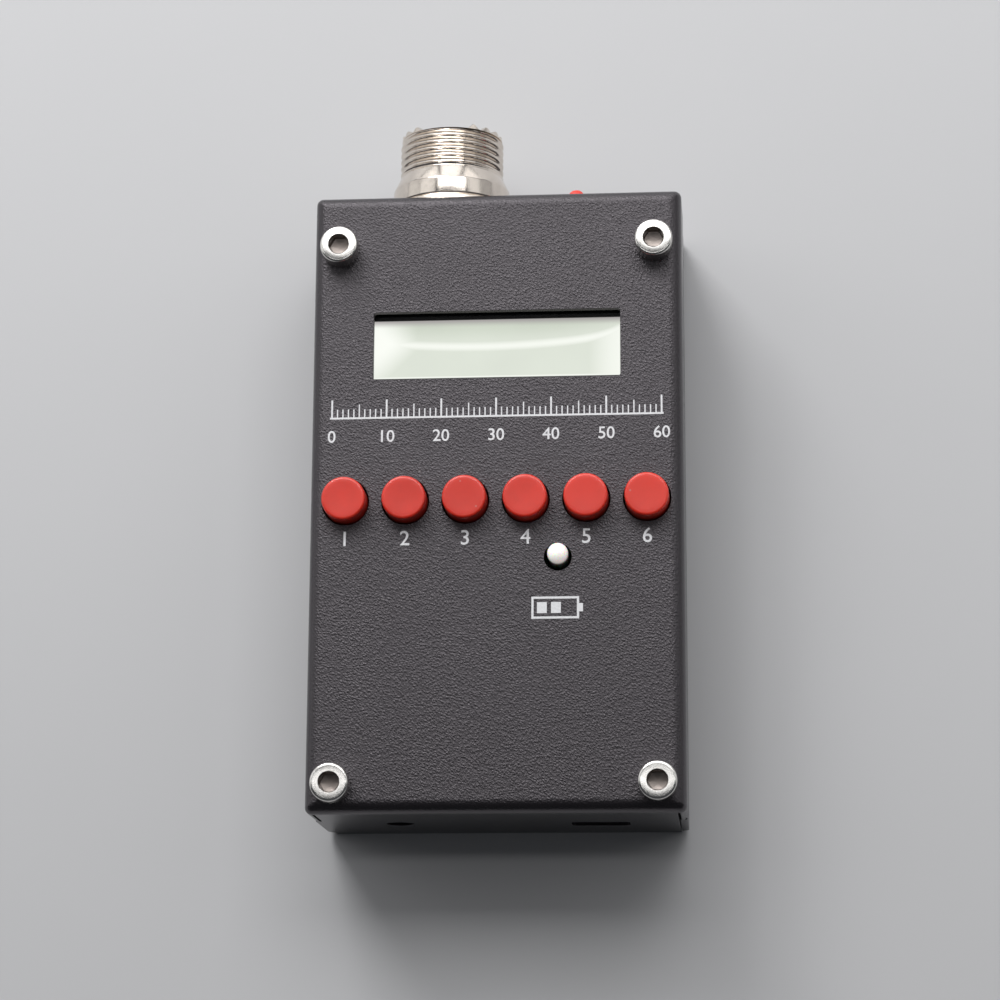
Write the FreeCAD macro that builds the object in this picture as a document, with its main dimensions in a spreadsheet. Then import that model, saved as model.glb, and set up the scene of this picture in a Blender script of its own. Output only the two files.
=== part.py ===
import FreeCAD, Part
import os
import re
import Sketcher

# Hand-held antenna analyzer in a folded sheet-steel case.
#
# Frame: X to the right, Y along the case towards the antenna socket, Z out of the front face.
# The origin is the centre of the back face. All sizes are in millimetres.

# Driving dimensions: alias, value, meaning. A "_z" is a height above the back face.
SIZES = [
    ("case_width", 54, "case, outside"),
    ("case_length", 91.5, "case, outside, without the socket"),
    ("case_depth", 25, "case, outside, without the screw heads"),
    ("sheet", 1, "thickness of the steel sheet"),
    ("bend_radius", 2, "front shell, outside radius of a fold"),
    ("corner_radius", 1, "front shell, upright corners"),
    ("rear_bend_radius", 1.5, "rear shell, outside radius of a fold"),
    ("seam_z", 14, "lower edge of the front shell's side flanges"),
    ("seam_gap", 0.15, "gap between the two shells"),
    ("rear_inset", 0.2, "how far the rear shell's sides stand back"),
    ("flange_corner", 0.8, "chamfer at the ends of a side flange"),
    ("tongue_thickness", 0.8, "strips that locate the front shell"),
    ("tongue_length", 60, "strip, along the case"),
    ("tongue_bottom_z", 8, "strip, lower edge"),
    ("tongue_top_z", 20, "strip, upper edge"),
    ("tongue_gap", 0.1, "between a strip and the front shell's flange"),
    ("screw_span_x", 46, "cover screws, spacing across"),
    ("screw_span_y", 79, "cover screws, spacing along"),
    ("screw_mid_y", -2.2, "middle of the screw pattern"),
    ("screw_hole_radius", 1.7, "clearance for M3"),
    ("screw_radius", 1.45, "M3 shank"),
    ("screw_length", 6, "under the head"),
    ("head_radius", 2.75, "M3 cap screw head"),
    ("head_height", 3, "M3 cap screw head"),
    ("hex_key", 2.5, "socket across flats"),
    ("hex_depth", 1.6, "socket depth"),
    ("standoff_flats", 4.5, "standoff across flats"),
    ("standoff_bore", 1.5, "threaded hole of an upper standoff"),
    ("standoff_edge", 0.4, "chamfer at the top of an upper standoff"),
    ("board", 1.6, "thickness of a circuit board"),
    ("board_width", 49.4, "main and display board, between the strips"),
    ("board_end_width", 50.8, "main and display board, past the strips"),
    ("board_shoulder_low_y", -33, "where a board widens, lower end"),
    ("board_shoulder_high_y", 32, "where a board widens, upper end"),
    ("board_bottom_y", -44, "board edge at the power sockets"),
    ("board_top_y", 41.5, "board edge at the antenna socket"),
    ("notch_left_x", -18.6, "board notch round the antenna socket"),
    ("notch_right_x", 3, "board notch round the antenna socket"),
    ("notch_bottom_y", 34.8, "board notch round the antenna socket"),
    ("main_board_z", 7.2, "underside of the main board"),
    ("display_board_z", 15, "underside of the display board"),
    ("window_width", 36, "display window"),
    ("window_height", 10.2, "display window"),
    ("window_y", 22.45, "middle of the display window"),
    ("window_corner", 0.4, "radius of the window's corners"),
    ("lcd_y", 21.15, "middle of the display module"),
    ("lcd_board_z", 17.9, "underside of the display's own board"),
    ("lcd_board_width", 43, "display module"),
    ("lcd_board_height", 18, "display module"),
    ("lcd_board_thickness", 1.2, "display module"),
    ("lcd_width", 39, "glass and backlight"),
    ("lcd_height", 12.6, "glass and backlight"),
    ("lcd_backlight_thickness", 1.8, "backlight"),
    ("lcd_glass_thickness", 1.4, "two panes"),
    ("bezel_wall", 0.4, "metal frame round the glass"),
    ("bezel_lip", 0.5, "how far the frame laps over the glass"),
    ("lcd_header_length", 35, "pin header under the display module"),
    ("lcd_header_width", 2, "pin header under the display module"),
    ("lcd_header_inset", 1.5, "its middle, in from the module's upper edge"),
    ("key_pitch", 8.7, "push buttons, spacing"),
    ("key_y", -0.8, "row of push buttons"),
    ("key_hole_radius", 3.45, "hole in the face for a button"),
    ("cap_radius", 3.2, "button cap"),
    ("cap_height", 6, "button cap"),
    ("cap_proud", 2.6, "button cap above the face"),
    ("cap_edge", 0.4, "bevel of a button cap"),
    ("cap_socket", 2.5, "square hole under the cap"),
    ("cap_socket_depth", 4.4, "square hole under the cap"),
    ("stem", 2.4, "stem of a key switch, square"),
    ("stem_bottom_z", 18, "lower end of a stem, button at rest"),
    ("key_body", 6, "key switch, square"),
    ("key_body_height", 3.5, "key switch"),
    ("key_well", 2.7, "square guide of the stem"),
    ("key_well_depth", 2.7, "square guide of the stem"),
    ("led_x", 8.95, "charge lamp"),
    ("led_y", -9.3, "charge lamp hole"),
    ("led_offset_y", 0.45, "lamp off the middle of its hole"),
    ("led_hole_radius", 2, "charge lamp hole"),
    ("led_radius", 1.5, "lamp"),
    ("led_proud", 1.6, "lamp above the face"),
    ("led_body", 5.3, "lamp, whole body"),
    ("led_dome", 0.8, "bevel of the lamp's end"),
    ("led_leg", 0.45, "leg of the lamp, square"),
    ("antenna_x", -8, "antenna socket axis"),
    ("antenna_z", 12.5, "antenna socket axis"),
    ("shank_radius", 5.9, "socket shank through the wall"),
    ("shank_length", 7, "shank behind the wall's outer face"),
    ("shank_clearance", 0.15, "hole in the wall round the shank"),
    ("ring_radius", 8.9, "spacer ring on the wall"),
    ("ring_height", 1.3, "spacer ring on the wall"),
    ("flange_radius", 8.8, "socket flange"),
    ("cone_start", 4, "top of the flange's straight side"),
    ("cone_end", 6.15, "top of the cone, where the thread starts"),
    ("thread_radius", 7.8, "5/8 inch thread, over its blunt crests"),
    ("rim_height", 12.2, "socket mouth above the wall, between the teeth"),
    ("tooth_tip", 13.05, "tips of the rim's teeth above the wall"),
    ("tooth_foot", 0.3, "how deep a tooth is rooted in the rim"),
    ("tooth_width", 1.5, "tooth, at the rim"),
    ("tooth_tip_width", 0.4, "tooth, at its tip"),
    ("tooth_outer_radius", 7.7, "tooth, outer end"),
    ("tooth_pitch", 18, "degrees from tooth to tooth"),
    ("tooth_right_start", 32, "degrees from the top to the first tooth on the right"),
    ("tooth_left_start", 36, "degrees from the top to the first tooth on the left"),
    ("mouth_radius", 6.3, "inside of the mouth"),
    ("mouth_floor", 3.4, "seat of the insulator"),
    ("insulator_face", 5.6, "front of the insulator"),
    ("shank_bore_radius", 3.4, "bore of the shank, round the contact"),
    ("contact_radius", 2.75, "centre contact, outside"),
    ("contact_bore_radius", 2, "centre contact, bore"),
    ("contact_reach", 11.2, "centre contact above the wall"),
    ("contact_floor", 2, "bottom of the contact bore"),
    ("contact_slot", 0.5, "slots of the contact"),
    ("contact_slot_depth", 5, "slots of the contact"),
    ("tail_radius", 1, "solder tail of the contact"),
    ("tail_length", 12, "solder tail behind the wall's outer face"),
    ("nut_flats", 16, "socket nut"),
    ("nut_height", 3, "socket nut"),
    ("strip_width", 2.5, "signal strip and battery tabs"),
    ("strip_thickness", 0.3, "signal strip and battery tabs"),
    ("power_x", 11.3, "power button axis"),
    ("power_z", 18.6, "power button axis"),
    ("power_hole_radius", 1.75, "hole in the wall for the power button"),
    ("power_cap_radius", 1.5, "power button"),
    ("power_nose_radius", 0.92, "power button, tip"),
    ("power_nose_start", 0.5, "power button, where it starts to narrow, beyond the wall"),
    ("power_proud", 2.1, "power button beyond the wall"),
    ("power_cap_length", 5.4, "power button"),
    ("power_collar_radius", 1.9, "collar behind the wall"),
    ("power_collar_thickness", 0.8, "collar behind the wall"),
    ("power_travel", 1.5, "how far the power button goes in"),
    ("power_switch_width", 5.8, "power switch"),
    ("power_switch_length", 6.3, "power switch"),
    ("power_switch_height", 4, "power switch"),
    ("power_switch_front_y", 40.8, "power switch, face towards the wall"),
    ("power_switch_edge", 0.3, "power switch, cut corners"),
    ("plunger", 1.6, "plunger of the power switch, square"),
    ("plunger_guide", 1.8, "square guide of the plunger"),
    ("plunger_fit", 0.1, "square hole in the button, wider than the plunger"),
    ("plunger_grip", 1.6, "plunger inside the button"),
    ("plunger_spare", 0.4, "room behind the plunger with the button pressed"),
    ("plunger_inside", 3, "plunger inside the switch, at rest"),
    ("dc_x", -14.7, "DC socket axis"),
    ("dc_hole_radius", 2.05, "hole in the wall"),
    ("dc_width", 6.4, "DC socket body"),
    ("dc_height", 6, "DC socket body"),
    ("dc_length", 8.5, "DC socket body"),
    ("dc_edge", 0.5, "DC socket body, cut corners"),
    ("dc_bore_radius", 1.85, "DC socket bore"),
    ("dc_bore_depth", 7, "DC socket bore"),
    ("dc_pin_radius", 0.65, "DC socket pin"),
    ("dc_pin_length", 6, "DC socket pin"),
    ("usb_x", 14.3, "USB socket axis"),
    ("usb_slot_width", 8.4, "slot in the wall"),
    ("usb_slot_height", 4.4, "slot in the wall"),
    ("usb_slot_corner", 0.8, "slot in the wall"),
    ("usb_width", 7.7, "USB socket shell"),
    ("usb_height", 3.95, "USB socket shell"),
    ("usb_length", 9, "USB socket shell"),
    ("usb_wall", 0.35, "USB socket shell"),
    ("usb_bevel", 0.9, "lower corners of the shell"),
    ("usb_depth", 7, "USB socket cavity"),
    ("usb_tongue_width", 5, "USB tongue"),
    ("usb_tongue_thickness", 0.8, "USB tongue"),
    ("usb_tongue_length", 5.6, "USB tongue"),
    ("usb_tongue_lift", 0.35, "USB tongue above the middle of the shell"),
    ("battery_width", 34, "battery pouch"),
    ("battery_length", 54, "battery pouch"),
    ("battery_thickness", 4.4, "battery pouch"),
    ("battery_edge", 1.2, "bevel of the pouch"),
    ("battery_y", -4, "middle of the battery"),
    ("pad_thickness", 0.4, "foam pad under the battery"),
    ("pad_margin", 2, "foam pad, in from the edges of the pouch"),
    ("tab_x", 10, "middle of the two battery tabs"),
    ("tab_z", 4.2, "battery tabs"),
    ("tab_length", 5, "battery tabs"),
    ("tab_spacing", 4, "battery tabs"),
    ("clip_width", 9, "clip that holds the battery tabs"),
    ("clip_length", 5, "clip that holds the battery tabs"),
    ("clip_height", 4, "clip that holds the battery tabs"),
    ("pin_pitch", 2.54, "board header pins and lamp legs"),
    ("header_pins", 8, "board header, pins along the strip"),
    ("header_x", -19.7, "board header"),
    ("header_y", -22, "board header"),
    ("capacitor_x", 2, "first of the block capacitors"),
    ("capacitor_pitch", 7, "block capacitors, spacing"),
    ("capacitor_y", -27, "block capacitors"),
    ("capacitor_width", 4.3, "block capacitors"),
    ("capacitor_length", 7.3, "block capacitors"),
    ("capacitor_height", 2.9, "block capacitors"),
]

# Pieces on the main board: middle in x and y, width, length, height and cut corners.
BOARD_PIECES = {
    "controller_chip": (9, 4, 10, 12, 1.6, 0.2),
    "dds_chip": (-9, 12, 5.3, 10.2, 1.6, 0.2),
    "charger_chip": (-8, -27, 4, 5, 1.5, 0.2),
    "upper_detector_chip": (-12, 26, 4, 5, 1.5, 0.2),
    "lower_detector_chip": (-4, 26, 4, 5, 1.5, 0.2),
    "oscillator_can": (-11, -3, 12.8, 12.8, 5, 1),
}
BOARD_PIECE_SIZES = ("x", "y", "width", "length", "height", "corner")

XY, XZ, YZ = "XY_Plane", "XZ_Plane", "YZ_Plane"
KEY_COUNT = 6
CAPACITOR_COUNT = 3
TEETH_PER_SIDE = 7
FULL_TURN = 360
OVERCUT = 1.0  # how far a cut starts outside the metal that it goes through

# Sums of driving dimensions that several pieces share, as formulas.
FACE_INNER_Z = "(case_depth - sheet)"
MAIN_TOP_Z = "(main_board_z + board)"
DISPLAY_TOP_Z = "(display_board_z + board)"
LCD_BOARD_TOP_Z = "(lcd_board_z + lcd_board_thickness)"
SEAM_X = "(case_width / 2 - rear_inset - sheet - seam_gap)"
REAR_HALF_WIDTH = "(case_width / 2 - rear_inset)"
REAR_SIDE_TOP_Z = "(seam_z - seam_gap)"
WALL_INNER_Y = "(case_length / 2 - sheet)"
LED_TOP_Z = "(case_depth + led_proud)"
USB_Z = f"({MAIN_TOP_Z} + usb_height / 2)"
DC_Z = f"({MAIN_TOP_Z} + dc_height / 2)"
SCREW_PLACES = [
    (f"{side} * screw_span_x / 2", f"screw_mid_y + {end} * screw_span_y / 2")
    for side in (-1, 1)
    for end in (-1, 1)
]

doc = FreeCAD.newDocument("antenna_analyzer")
sheet = doc.addObject("Spreadsheet::Sheet", "Sizes")
pieces = []


# ---- the spreadsheet and its formulas ----------------------------------------------------------


def fill_sheet():
    """Write the driving dimensions as name, value and meaning, one row each."""
    rows = list(SIZES)
    for name, numbers in BOARD_PIECES.items():
        for part, number in zip(BOARD_PIECE_SIZES, numbers):
            rows.append((f"{name}_{part}", number, f"{name.replace('_', ' ')}, {part}"))
    for row, (alias, size, meaning) in enumerate(rows, start=1):
        sheet.set(f"A{row}", alias)
        sheet.set(f"B{row}", str(size))
        sheet.set(f"C{row}", meaning)
        sheet.setAlias(f"B{row}", alias)
    doc.recompute()


def formula(text):
    """Turn a formula of aliases into an expression that any object can use."""
    return re.sub(r"\b([a-z][a-z_0-9]*)\b(?!\()", r"Sizes.\1", text)


def value(text):
    """The number that a formula gives now."""
    return float(sheet.evalExpression(formula(text)))


def bind(thing, prop, text):
    """Let a formula drive a property."""
    thing.setExpression(prop, formula(text))


# ---- bodies, sketches and features -------------------------------------------------------------


def new_body(name, x="0", y="0", z="0"):
    """A sub-part of its own, placed at three formulas."""
    body = doc.addObject("PartDesign::Body", name)
    body.Label = name
    body.AllowCompound = True
    for axis, text in zip("xyz", (x, y, z)):
        bind(body, f"Placement.Base.{axis}", text)
    pieces.append(body)
    return body


def origin_item(body, role):
    """One of the body's own planes or axes."""
    return next(item for item in body.Origin.OriginFeatures if item.Role == role)


def new_sketch(body, plane, offset="0"):
    """A sketch on one of the body's own planes, moved along its normal: +Z, -Y or +X."""
    sketch = body.newObject("Sketcher::SketchObject", f"{body.Name}_sketch")
    sketch.AttachmentSupport = [(origin_item(body, plane), "")]
    sketch.MapMode = "FlatFace"
    bind(sketch, "AttachmentOffset.Base.z", offset)
    return sketch


def facing_sketch(body, side, angle, distance):
    """A sketch that faces away from the body's Y axis, turned from +Z towards +X or -X (side)."""
    sketch = new_sketch(body, XY, f"{distance} * cos({angle})")
    turn = FreeCAD.Rotation(FreeCAD.Vector(0, side, 0), value(angle))
    sketch.AttachmentOffset = FreeCAD.Placement(FreeCAD.Vector(), turn)
    bind(sketch, "AttachmentOffset.Base.x", f"{side} * {distance} * sin({angle})")
    bind(sketch, "AttachmentOffset.Rotation.Angle", angle)
    return sketch


def fix_point(sketch, geometry, point, x, y):
    """Tie one point of the sketch to two formulas."""
    for kind, text, axis in (("DistanceX", x, -2), ("DistanceY", y, -1)):
        number = value(text)
        if abs(number) < 1e-9:
            sketch.addConstraint(Sketcher.Constraint("PointOnObject", geometry, point, axis))
            continue
        index = sketch.addConstraint(Sketcher.Constraint(kind, -1, 1, geometry, point, number))
        bind(sketch, f"Constraints[{index}]", text)


def polygon(sketch, corners):
    """A closed outline through corners given as pairs of formulas."""
    first = sketch.GeometryCount
    count = len(corners)
    points = [FreeCAD.Vector(value(x), value(y), 0) for x, y in corners]
    for i in range(count):
        sketch.addGeometry(Part.LineSegment(points[i], points[(i + 1) % count]), False)
    for i in range(count):
        following = first + (i + 1) % count
        sketch.addConstraint(Sketcher.Constraint("Coincident", first + i, 2, following, 1))
    for i, (x, y) in enumerate(corners):
        fix_point(sketch, first + i, 1, x, y)


def rectangle(sketch, x, y, width, height):
    """A rectangle round its middle."""
    left, right = f"{x} - {width} / 2", f"{x} + {width} / 2"
    low, high = f"{y} - {height} / 2", f"{y} + {height} / 2"
    polygon(sketch, [(left, low), (right, low), (right, high), (left, high)])


def hexagon(sketch, x, y, flats):
    """A hexagon with two flats facing left and right."""
    near, far = f"{flats} / (2 * sqrt(3))", f"{flats} / sqrt(3)"
    corners = [("+", "-", near), ("+", "+", near), ("", "+", far)]
    corners += [("-", "+", near), ("-", "-", near), ("", "-", far)]
    polygon(
        sketch,
        [
            (f"{x} {side} {flats} / 2" if side else x, f"{y} {end} {reach}")
            for side, end, reach in corners
        ],
    )


def circle(sketch, x, y, radius):
    middle = FreeCAD.Vector(value(x), value(y), 0)
    normal = FreeCAD.Vector(0, 0, 1)
    index = sketch.addGeometry(Part.Circle(middle, normal, value(radius)), False)
    fix_point(sketch, index, 3, x, y)
    size = sketch.addConstraint(Sketcher.Constraint("Radius", index, value(radius)))
    bind(sketch, f"Constraints[{size}]", radius)


def feature(body, kind, profile=None):
    item = body.newObject(f"PartDesign::{kind}", f"{body.Name}_{kind.lower()}")
    if profile is not None:
        item.Profile = profile
    body.Tip = item
    return item


def pad(body, sketch, length, reverse=False, both_ways=False):
    """Material along the sketch's normal, or against it when reversed."""
    item = feature(body, "Pad", sketch)
    item.Reversed = reverse
    item.Midplane = both_ways
    bind(item, "Length", length)
    return item


def pocket(body, sketch, length, along_normal=False):
    """A cut against the sketch's normal, or along it. A cut that removes nothing is a mistake."""
    doc.recompute()
    before = body.Shape.Volume
    item = feature(body, "Pocket", sketch)
    item.Reversed = along_normal
    bind(item, "Length", length)
    doc.recompute()
    if body.Shape.Volume > before - 1e-6:
        raise RuntimeError(f"{item.Name} cuts nothing")
    return item


def revolve(body, sketch):
    """Turn an outline round its sketch's upright axis."""
    item = feature(body, "Revolution", sketch)
    item.ReferenceAxis = (sketch, ["V_Axis"])
    item.Angle = FULL_TURN
    return item


def mirror(body, original, role):
    item = feature(body, "Mirrored")
    item.Originals = [original]
    item.MirrorPlane = (origin_item(body, role), [""])
    return item


def repeat(body, original, sketch, axis, length, count):
    """Copies of a feature in a row along an axis of its sketch."""
    item = feature(body, "LinearPattern")
    item.Originals = [original]
    item.Direction = (sketch, [axis])
    item.Occurrences = count
    bind(item, "Length", length)
    return item


def repeat_round(body, original, angle, count, backwards):
    """Copies of a feature round the body's Y axis, spread over an angle."""
    item = feature(body, "PolarPattern")
    item.Originals = [original]
    item.Axis = (origin_item(body, "Y_Axis"), [""])
    item.Reversed = backwards
    item.Occurrences = count
    bind(item, "Angle", angle)
    return item


def dress(body, kind, size, wanted):
    """Fillet or chamfer the edges of the body for which wanted(edge) holds."""
    doc.recompute()
    tip = body.Tip
    names = [f"Edge{i}" for i, edge in enumerate(tip.Shape.Edges, 1) if wanted(edge)]
    if not names:
        raise RuntimeError(f"{body.Name} has no edge to dress")
    item = feature(body, kind)
    item.Base = (tip, names)
    bind(item, "Radius" if kind == "Fillet" else "Size", size)
    doc.recompute()
    return item


def near(a, b):
    return abs(a - b) < 1e-4


def level_edge(z, edge):
    """Whether an edge lies flat at a height."""
    return near(edge.BoundBox.ZMin, z) and near(edge.BoundBox.ZMax, z)


def upright_edge(edge):
    box = edge.BoundBox
    return box.XLength < 1e-4 and box.YLength < 1e-4


def block(name, x, y, z, size, corner=None):
    """A rectangular piece on its own base, with its upright corners cut if asked."""
    width, length, height = size
    body = new_body(name, x, y, z)
    sketch = new_sketch(body, XY)
    rectangle(sketch, "0", "0", width, length)
    pad(body, sketch, height)
    if corner:
        dress(body, "Chamfer", corner, upright_edge)
    return body


# ---- case --------------------------------------------------------------------------------------


def make_front_shell():
    """Face, two full-depth end walls and two side flanges, folded from one sheet."""
    body = new_body("front_shell")
    outside = new_sketch(body, XY)
    rectangle(outside, "0", "0", "case_width", "case_length")
    pad(body, outside, "case_depth")
    top = value("case_depth")
    dress(body, "Fillet", "bend_radius", lambda edge: level_edge(top, edge))
    dress(body, "Fillet", "corner_radius", upright_edge)

    inside = new_sketch(body, XY)
    rectangle(inside, "0", "0", "(case_width - 2 * sheet)", "(case_length - 2 * sheet)")
    pocket(body, inside, FACE_INNER_Z, along_normal=True)
    under_face = value(FACE_INNER_Z)
    dress(body, "Fillet", "bend_radius - sheet", lambda edge: level_edge(under_face, edge))

    cut_side_walls(body)
    cut_corner_seams(body)
    cut_face_openings(body)
    cut_end_openings(body)


def cut_side_walls(body):
    """Cut the side walls back to flanges with chamfered ends, and free the end walls' edges."""
    end, low = "case_length / 2", f"-{OVERCUT}"
    over = f"seam_z + flange_corner + {OVERCUT}"
    sketch = new_sketch(body, YZ, SEAM_X)
    polygon(
        sketch,
        [
            (f"-({end}) - {OVERCUT}", low),
            (f"{end} + {OVERCUT}", low),
            (f"{end} + {OVERCUT}", over),
            (f"{end} - flange_corner", "seam_z"),
            (f"-({end}) + flange_corner", "seam_z"),
            (f"-({end}) - {OVERCUT}", over),
        ],
    )
    cut = pocket(body, sketch, f"case_width / 2 - {SEAM_X} + {OVERCUT}", along_normal=True)
    mirror(body, cut, YZ)


def cut_corner_seams(body):
    """Upright slots in the end walls, where the side flanges butt against them."""
    slot_width = f"(case_width / 2 - sheet - {SEAM_X})"
    slot_height = "(case_depth - bend_radius)"
    sketch = new_sketch(body, XZ, f"-(case_length / 2 + {OVERCUT})")
    for side in (-1, 1):
        middle = f"{side} * ({SEAM_X} + {slot_width} / 2)"
        rectangle(sketch, middle, f"{slot_height} / 2", slot_width, slot_height)
    cut = pocket(body, sketch, f"sheet + {OVERCUT}", along_normal=True)
    mirror(body, cut, XZ)


def cut_face_openings(body):
    """Window, lamp hole, screw holes and the row of button holes."""
    depth = f"sheet + {OVERCUT}"
    above = f"case_depth + {OVERCUT}"
    window = new_sketch(body, XY, above)
    rectangle(window, "0", "window_y", "window_width", "window_height")
    circle(window, "led_x", "led_y", "led_hole_radius")
    for x, y in SCREW_PLACES:
        circle(window, x, y, "screw_hole_radius")
    pocket(body, window, f"{depth} + {OVERCUT}")
    corner_x, corner_y = value("window_width / 2"), value("window_height / 2")
    middle_y = value("window_y")

    def window_corner(edge):
        box = edge.BoundBox
        across = near(abs(box.XMin), corner_x) and near(abs(box.YMin - middle_y), corner_y)
        return across and upright_edge(edge)

    dress(body, "Fillet", "window_corner", window_corner)

    key = new_sketch(body, XY, above)
    circle(key, f"-{KEY_COUNT - 1} * key_pitch / 2", "key_y", "key_hole_radius")
    first = pocket(body, key, f"{depth} + {OVERCUT}")
    repeat(body, first, key, "H_Axis", f"{KEY_COUNT - 1} * key_pitch", KEY_COUNT)


def cut_end_openings(body):
    """Holes for the antenna socket and power button at one end, for the leads at the other."""
    depth = f"sheet + 2 * {OVERCUT}"
    beyond = f"case_length / 2 + {OVERCUT}"
    top_end = new_sketch(body, XZ, f"-({beyond})")
    circle(top_end, "antenna_x", "antenna_z", "shank_radius + shank_clearance")
    circle(top_end, "power_x", "power_z", "power_hole_radius")
    pocket(body, top_end, depth, along_normal=True)

    low_end = new_sketch(body, XZ, beyond)
    circle(low_end, "dc_x", DC_Z, "dc_hole_radius")
    rectangle(low_end, "usb_x", USB_Z, "usb_slot_width", "usb_slot_height")
    pocket(body, low_end, depth)
    middle_x, half_width = value("usb_x"), value("usb_slot_width / 2")
    wall, thickness = -value("case_length / 2"), value("sheet")

    def slot_corner(edge):
        box = edge.BoundBox
        through = near(box.YMin, wall) and near(box.YLength, thickness)
        at_side = near(abs(box.XMin - middle_x), half_width)
        return through and at_side and near(box.XLength, 0)

    dress(body, "Fillet", "usb_slot_corner", slot_corner)


def make_rear_shell():
    """Back and two side walls, with a strip inside each side that locates the front shell."""
    body = new_body("rear_shell")
    profile = new_sketch(body, XZ)
    out, inner = REAR_HALF_WIDTH, f"({REAR_HALF_WIDTH} - sheet)"
    corners = [(out, "0"), (out, REAR_SIDE_TOP_Z), (inner, REAR_SIDE_TOP_Z), (inner, "sheet")]
    polygon(profile, corners + [(f"-{x}", z) for x, z in reversed(corners)])
    pad(body, profile, "case_length - 2 * rear_inset", both_ways=True)

    def fold(z, edge):
        return level_edge(value(z), edge) and edge.BoundBox.YLength > value("case_width")

    dress(body, "Fillet", "rear_bend_radius", lambda edge: fold("0", edge))
    dress(body, "Fillet", "rear_bend_radius - sheet", lambda edge: fold("sheet", edge))

    ends = new_sketch(body, XY, f"-{OVERCUT}")
    depth = f"(sheet + rear_inset + {OVERCUT})"
    middle = f"({WALL_INNER_Y} - seam_gap + {depth} / 2)"
    rectangle(ends, "0", middle, f"2 * {inner}", depth)
    cut = pocket(body, ends, f"{OVERCUT} + rear_bend_radius", along_normal=True)
    mirror(body, cut, XZ)

    strip = new_sketch(body, YZ, "case_width / 2 - sheet - tongue_gap - tongue_thickness")
    middle = "(tongue_bottom_z + tongue_top_z) / 2"
    rectangle(strip, "0", middle, "tongue_length", "(tongue_top_z - tongue_bottom_z)")
    mirror(body, pad(body, strip, "tongue_thickness"), YZ)


def make_cover_screws():
    """Four cap screws: shank and head with a hexagon socket."""
    body = new_body("cover_screws", z="case_depth")
    shank, head = new_sketch(body, XY), new_sketch(body, XY)
    for x, y in SCREW_PLACES:
        circle(shank, x, y, "screw_radius")
        circle(head, x, y, "head_radius")
    pad(body, head, "head_height")
    pad(body, shank, "screw_length", reverse=True)
    key = new_sketch(body, XY, "head_height")
    for x, y in SCREW_PLACES:
        hexagon(key, x, y, "hex_key")
    pocket(body, key, "hex_depth")


def make_standoffs(name, bottom, height):
    """Four hexagonal standoffs, one under each cover screw."""
    body = new_body(name, z=bottom)
    sketch = new_sketch(body, XY)
    for x, y in SCREW_PLACES:
        hexagon(sketch, x, y, "standoff_flats")
    pad(body, sketch, height)
    return body


def make_all_standoffs():
    """Three storeys of standoffs. The cover screws run into the uppermost."""
    make_standoffs("lower_standoffs", "sheet", "(main_board_z - sheet)")
    make_standoffs("middle_standoffs", MAIN_TOP_Z, f"(display_board_z - {MAIN_TOP_Z})")
    height = f"({FACE_INNER_Z} - {DISPLAY_TOP_Z})"
    upper = make_standoffs("upper_standoffs", DISPLAY_TOP_Z, height)
    bores = new_sketch(upper, XY)
    for x, y in SCREW_PLACES:
        circle(bores, x, y, "standoff_bore")
    pocket(upper, bores, height, along_normal=True)
    top = value(height)

    def hexagon_top(edge):
        return level_edge(top, edge) and edge.Curve.TypeId == "Part::GeomLine"

    dress(upper, "Chamfer", "standoff_edge", hexagon_top)


# ---- boards and display ------------------------------------------------------------------------


def make_board(name, z):
    """A circuit board with a notch round the antenna socket."""
    body = new_body(name, z=z)
    sketch = new_sketch(body, XY)
    side = [
        ("board_end_width / 2", "board_bottom_y"),
        ("board_end_width / 2", "board_shoulder_low_y"),
        ("board_width / 2", "board_shoulder_low_y"),
        ("board_width / 2", "board_shoulder_high_y"),
        ("board_end_width / 2", "board_shoulder_high_y"),
        ("board_end_width / 2", "board_top_y"),
    ]
    notch = [
        ("notch_right_x", "board_top_y"),
        ("notch_right_x", "notch_bottom_y"),
        ("notch_left_x", "notch_bottom_y"),
        ("notch_left_x", "board_top_y"),
    ]
    polygon(sketch, side + notch + [(f"-{x}", y) for x, y in reversed(side)])
    pad(body, sketch, "board")


def make_display():
    """Display module: its board, backlight, glass, metal frame and pin header."""
    board_size = ("lcd_board_width", "lcd_board_height", "lcd_board_thickness")
    block("lcd_board", "0", "lcd_y", "lcd_board_z", board_size)
    light_size = ("lcd_width", "lcd_height", "lcd_backlight_thickness")
    block("lcd_backlight", "0", "lcd_y", LCD_BOARD_TOP_Z, light_size)
    glass_z = f"({LCD_BOARD_TOP_Z} + lcd_backlight_thickness)"
    block("lcd_glass", "0", "lcd_y", glass_z, ("lcd_width", "lcd_height", "lcd_glass_thickness"))

    frame = new_body("lcd_bezel", y="lcd_y", z=LCD_BOARD_TOP_Z)
    stack = "(lcd_backlight_thickness + lcd_glass_thickness)"
    outline = new_sketch(frame, XY)
    rectangle(outline, "0", "0", "(lcd_width + 2 * bezel_wall)", "(lcd_height + 2 * bezel_wall)")
    pad(frame, outline, f"{stack} + bezel_wall")
    hollow = new_sketch(frame, XY)
    rectangle(hollow, "0", "0", "lcd_width", "lcd_height")
    pocket(frame, hollow, stack, along_normal=True)
    view = new_sketch(frame, XY)
    rectangle(view, "0", "0", "(lcd_width - 2 * bezel_lip)", "(lcd_height - 2 * bezel_lip)")
    pocket(frame, view, f"{stack} + 2 * bezel_wall", along_normal=True)

    pins_y = "(lcd_y + lcd_board_height / 2 - lcd_header_inset)"
    pins_size = ("lcd_header_length", "lcd_header_width", f"(lcd_board_z - {DISPLAY_TOP_Z})")
    block("lcd_header", "0", pins_y, DISPLAY_TOP_Z, pins_size)


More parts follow.
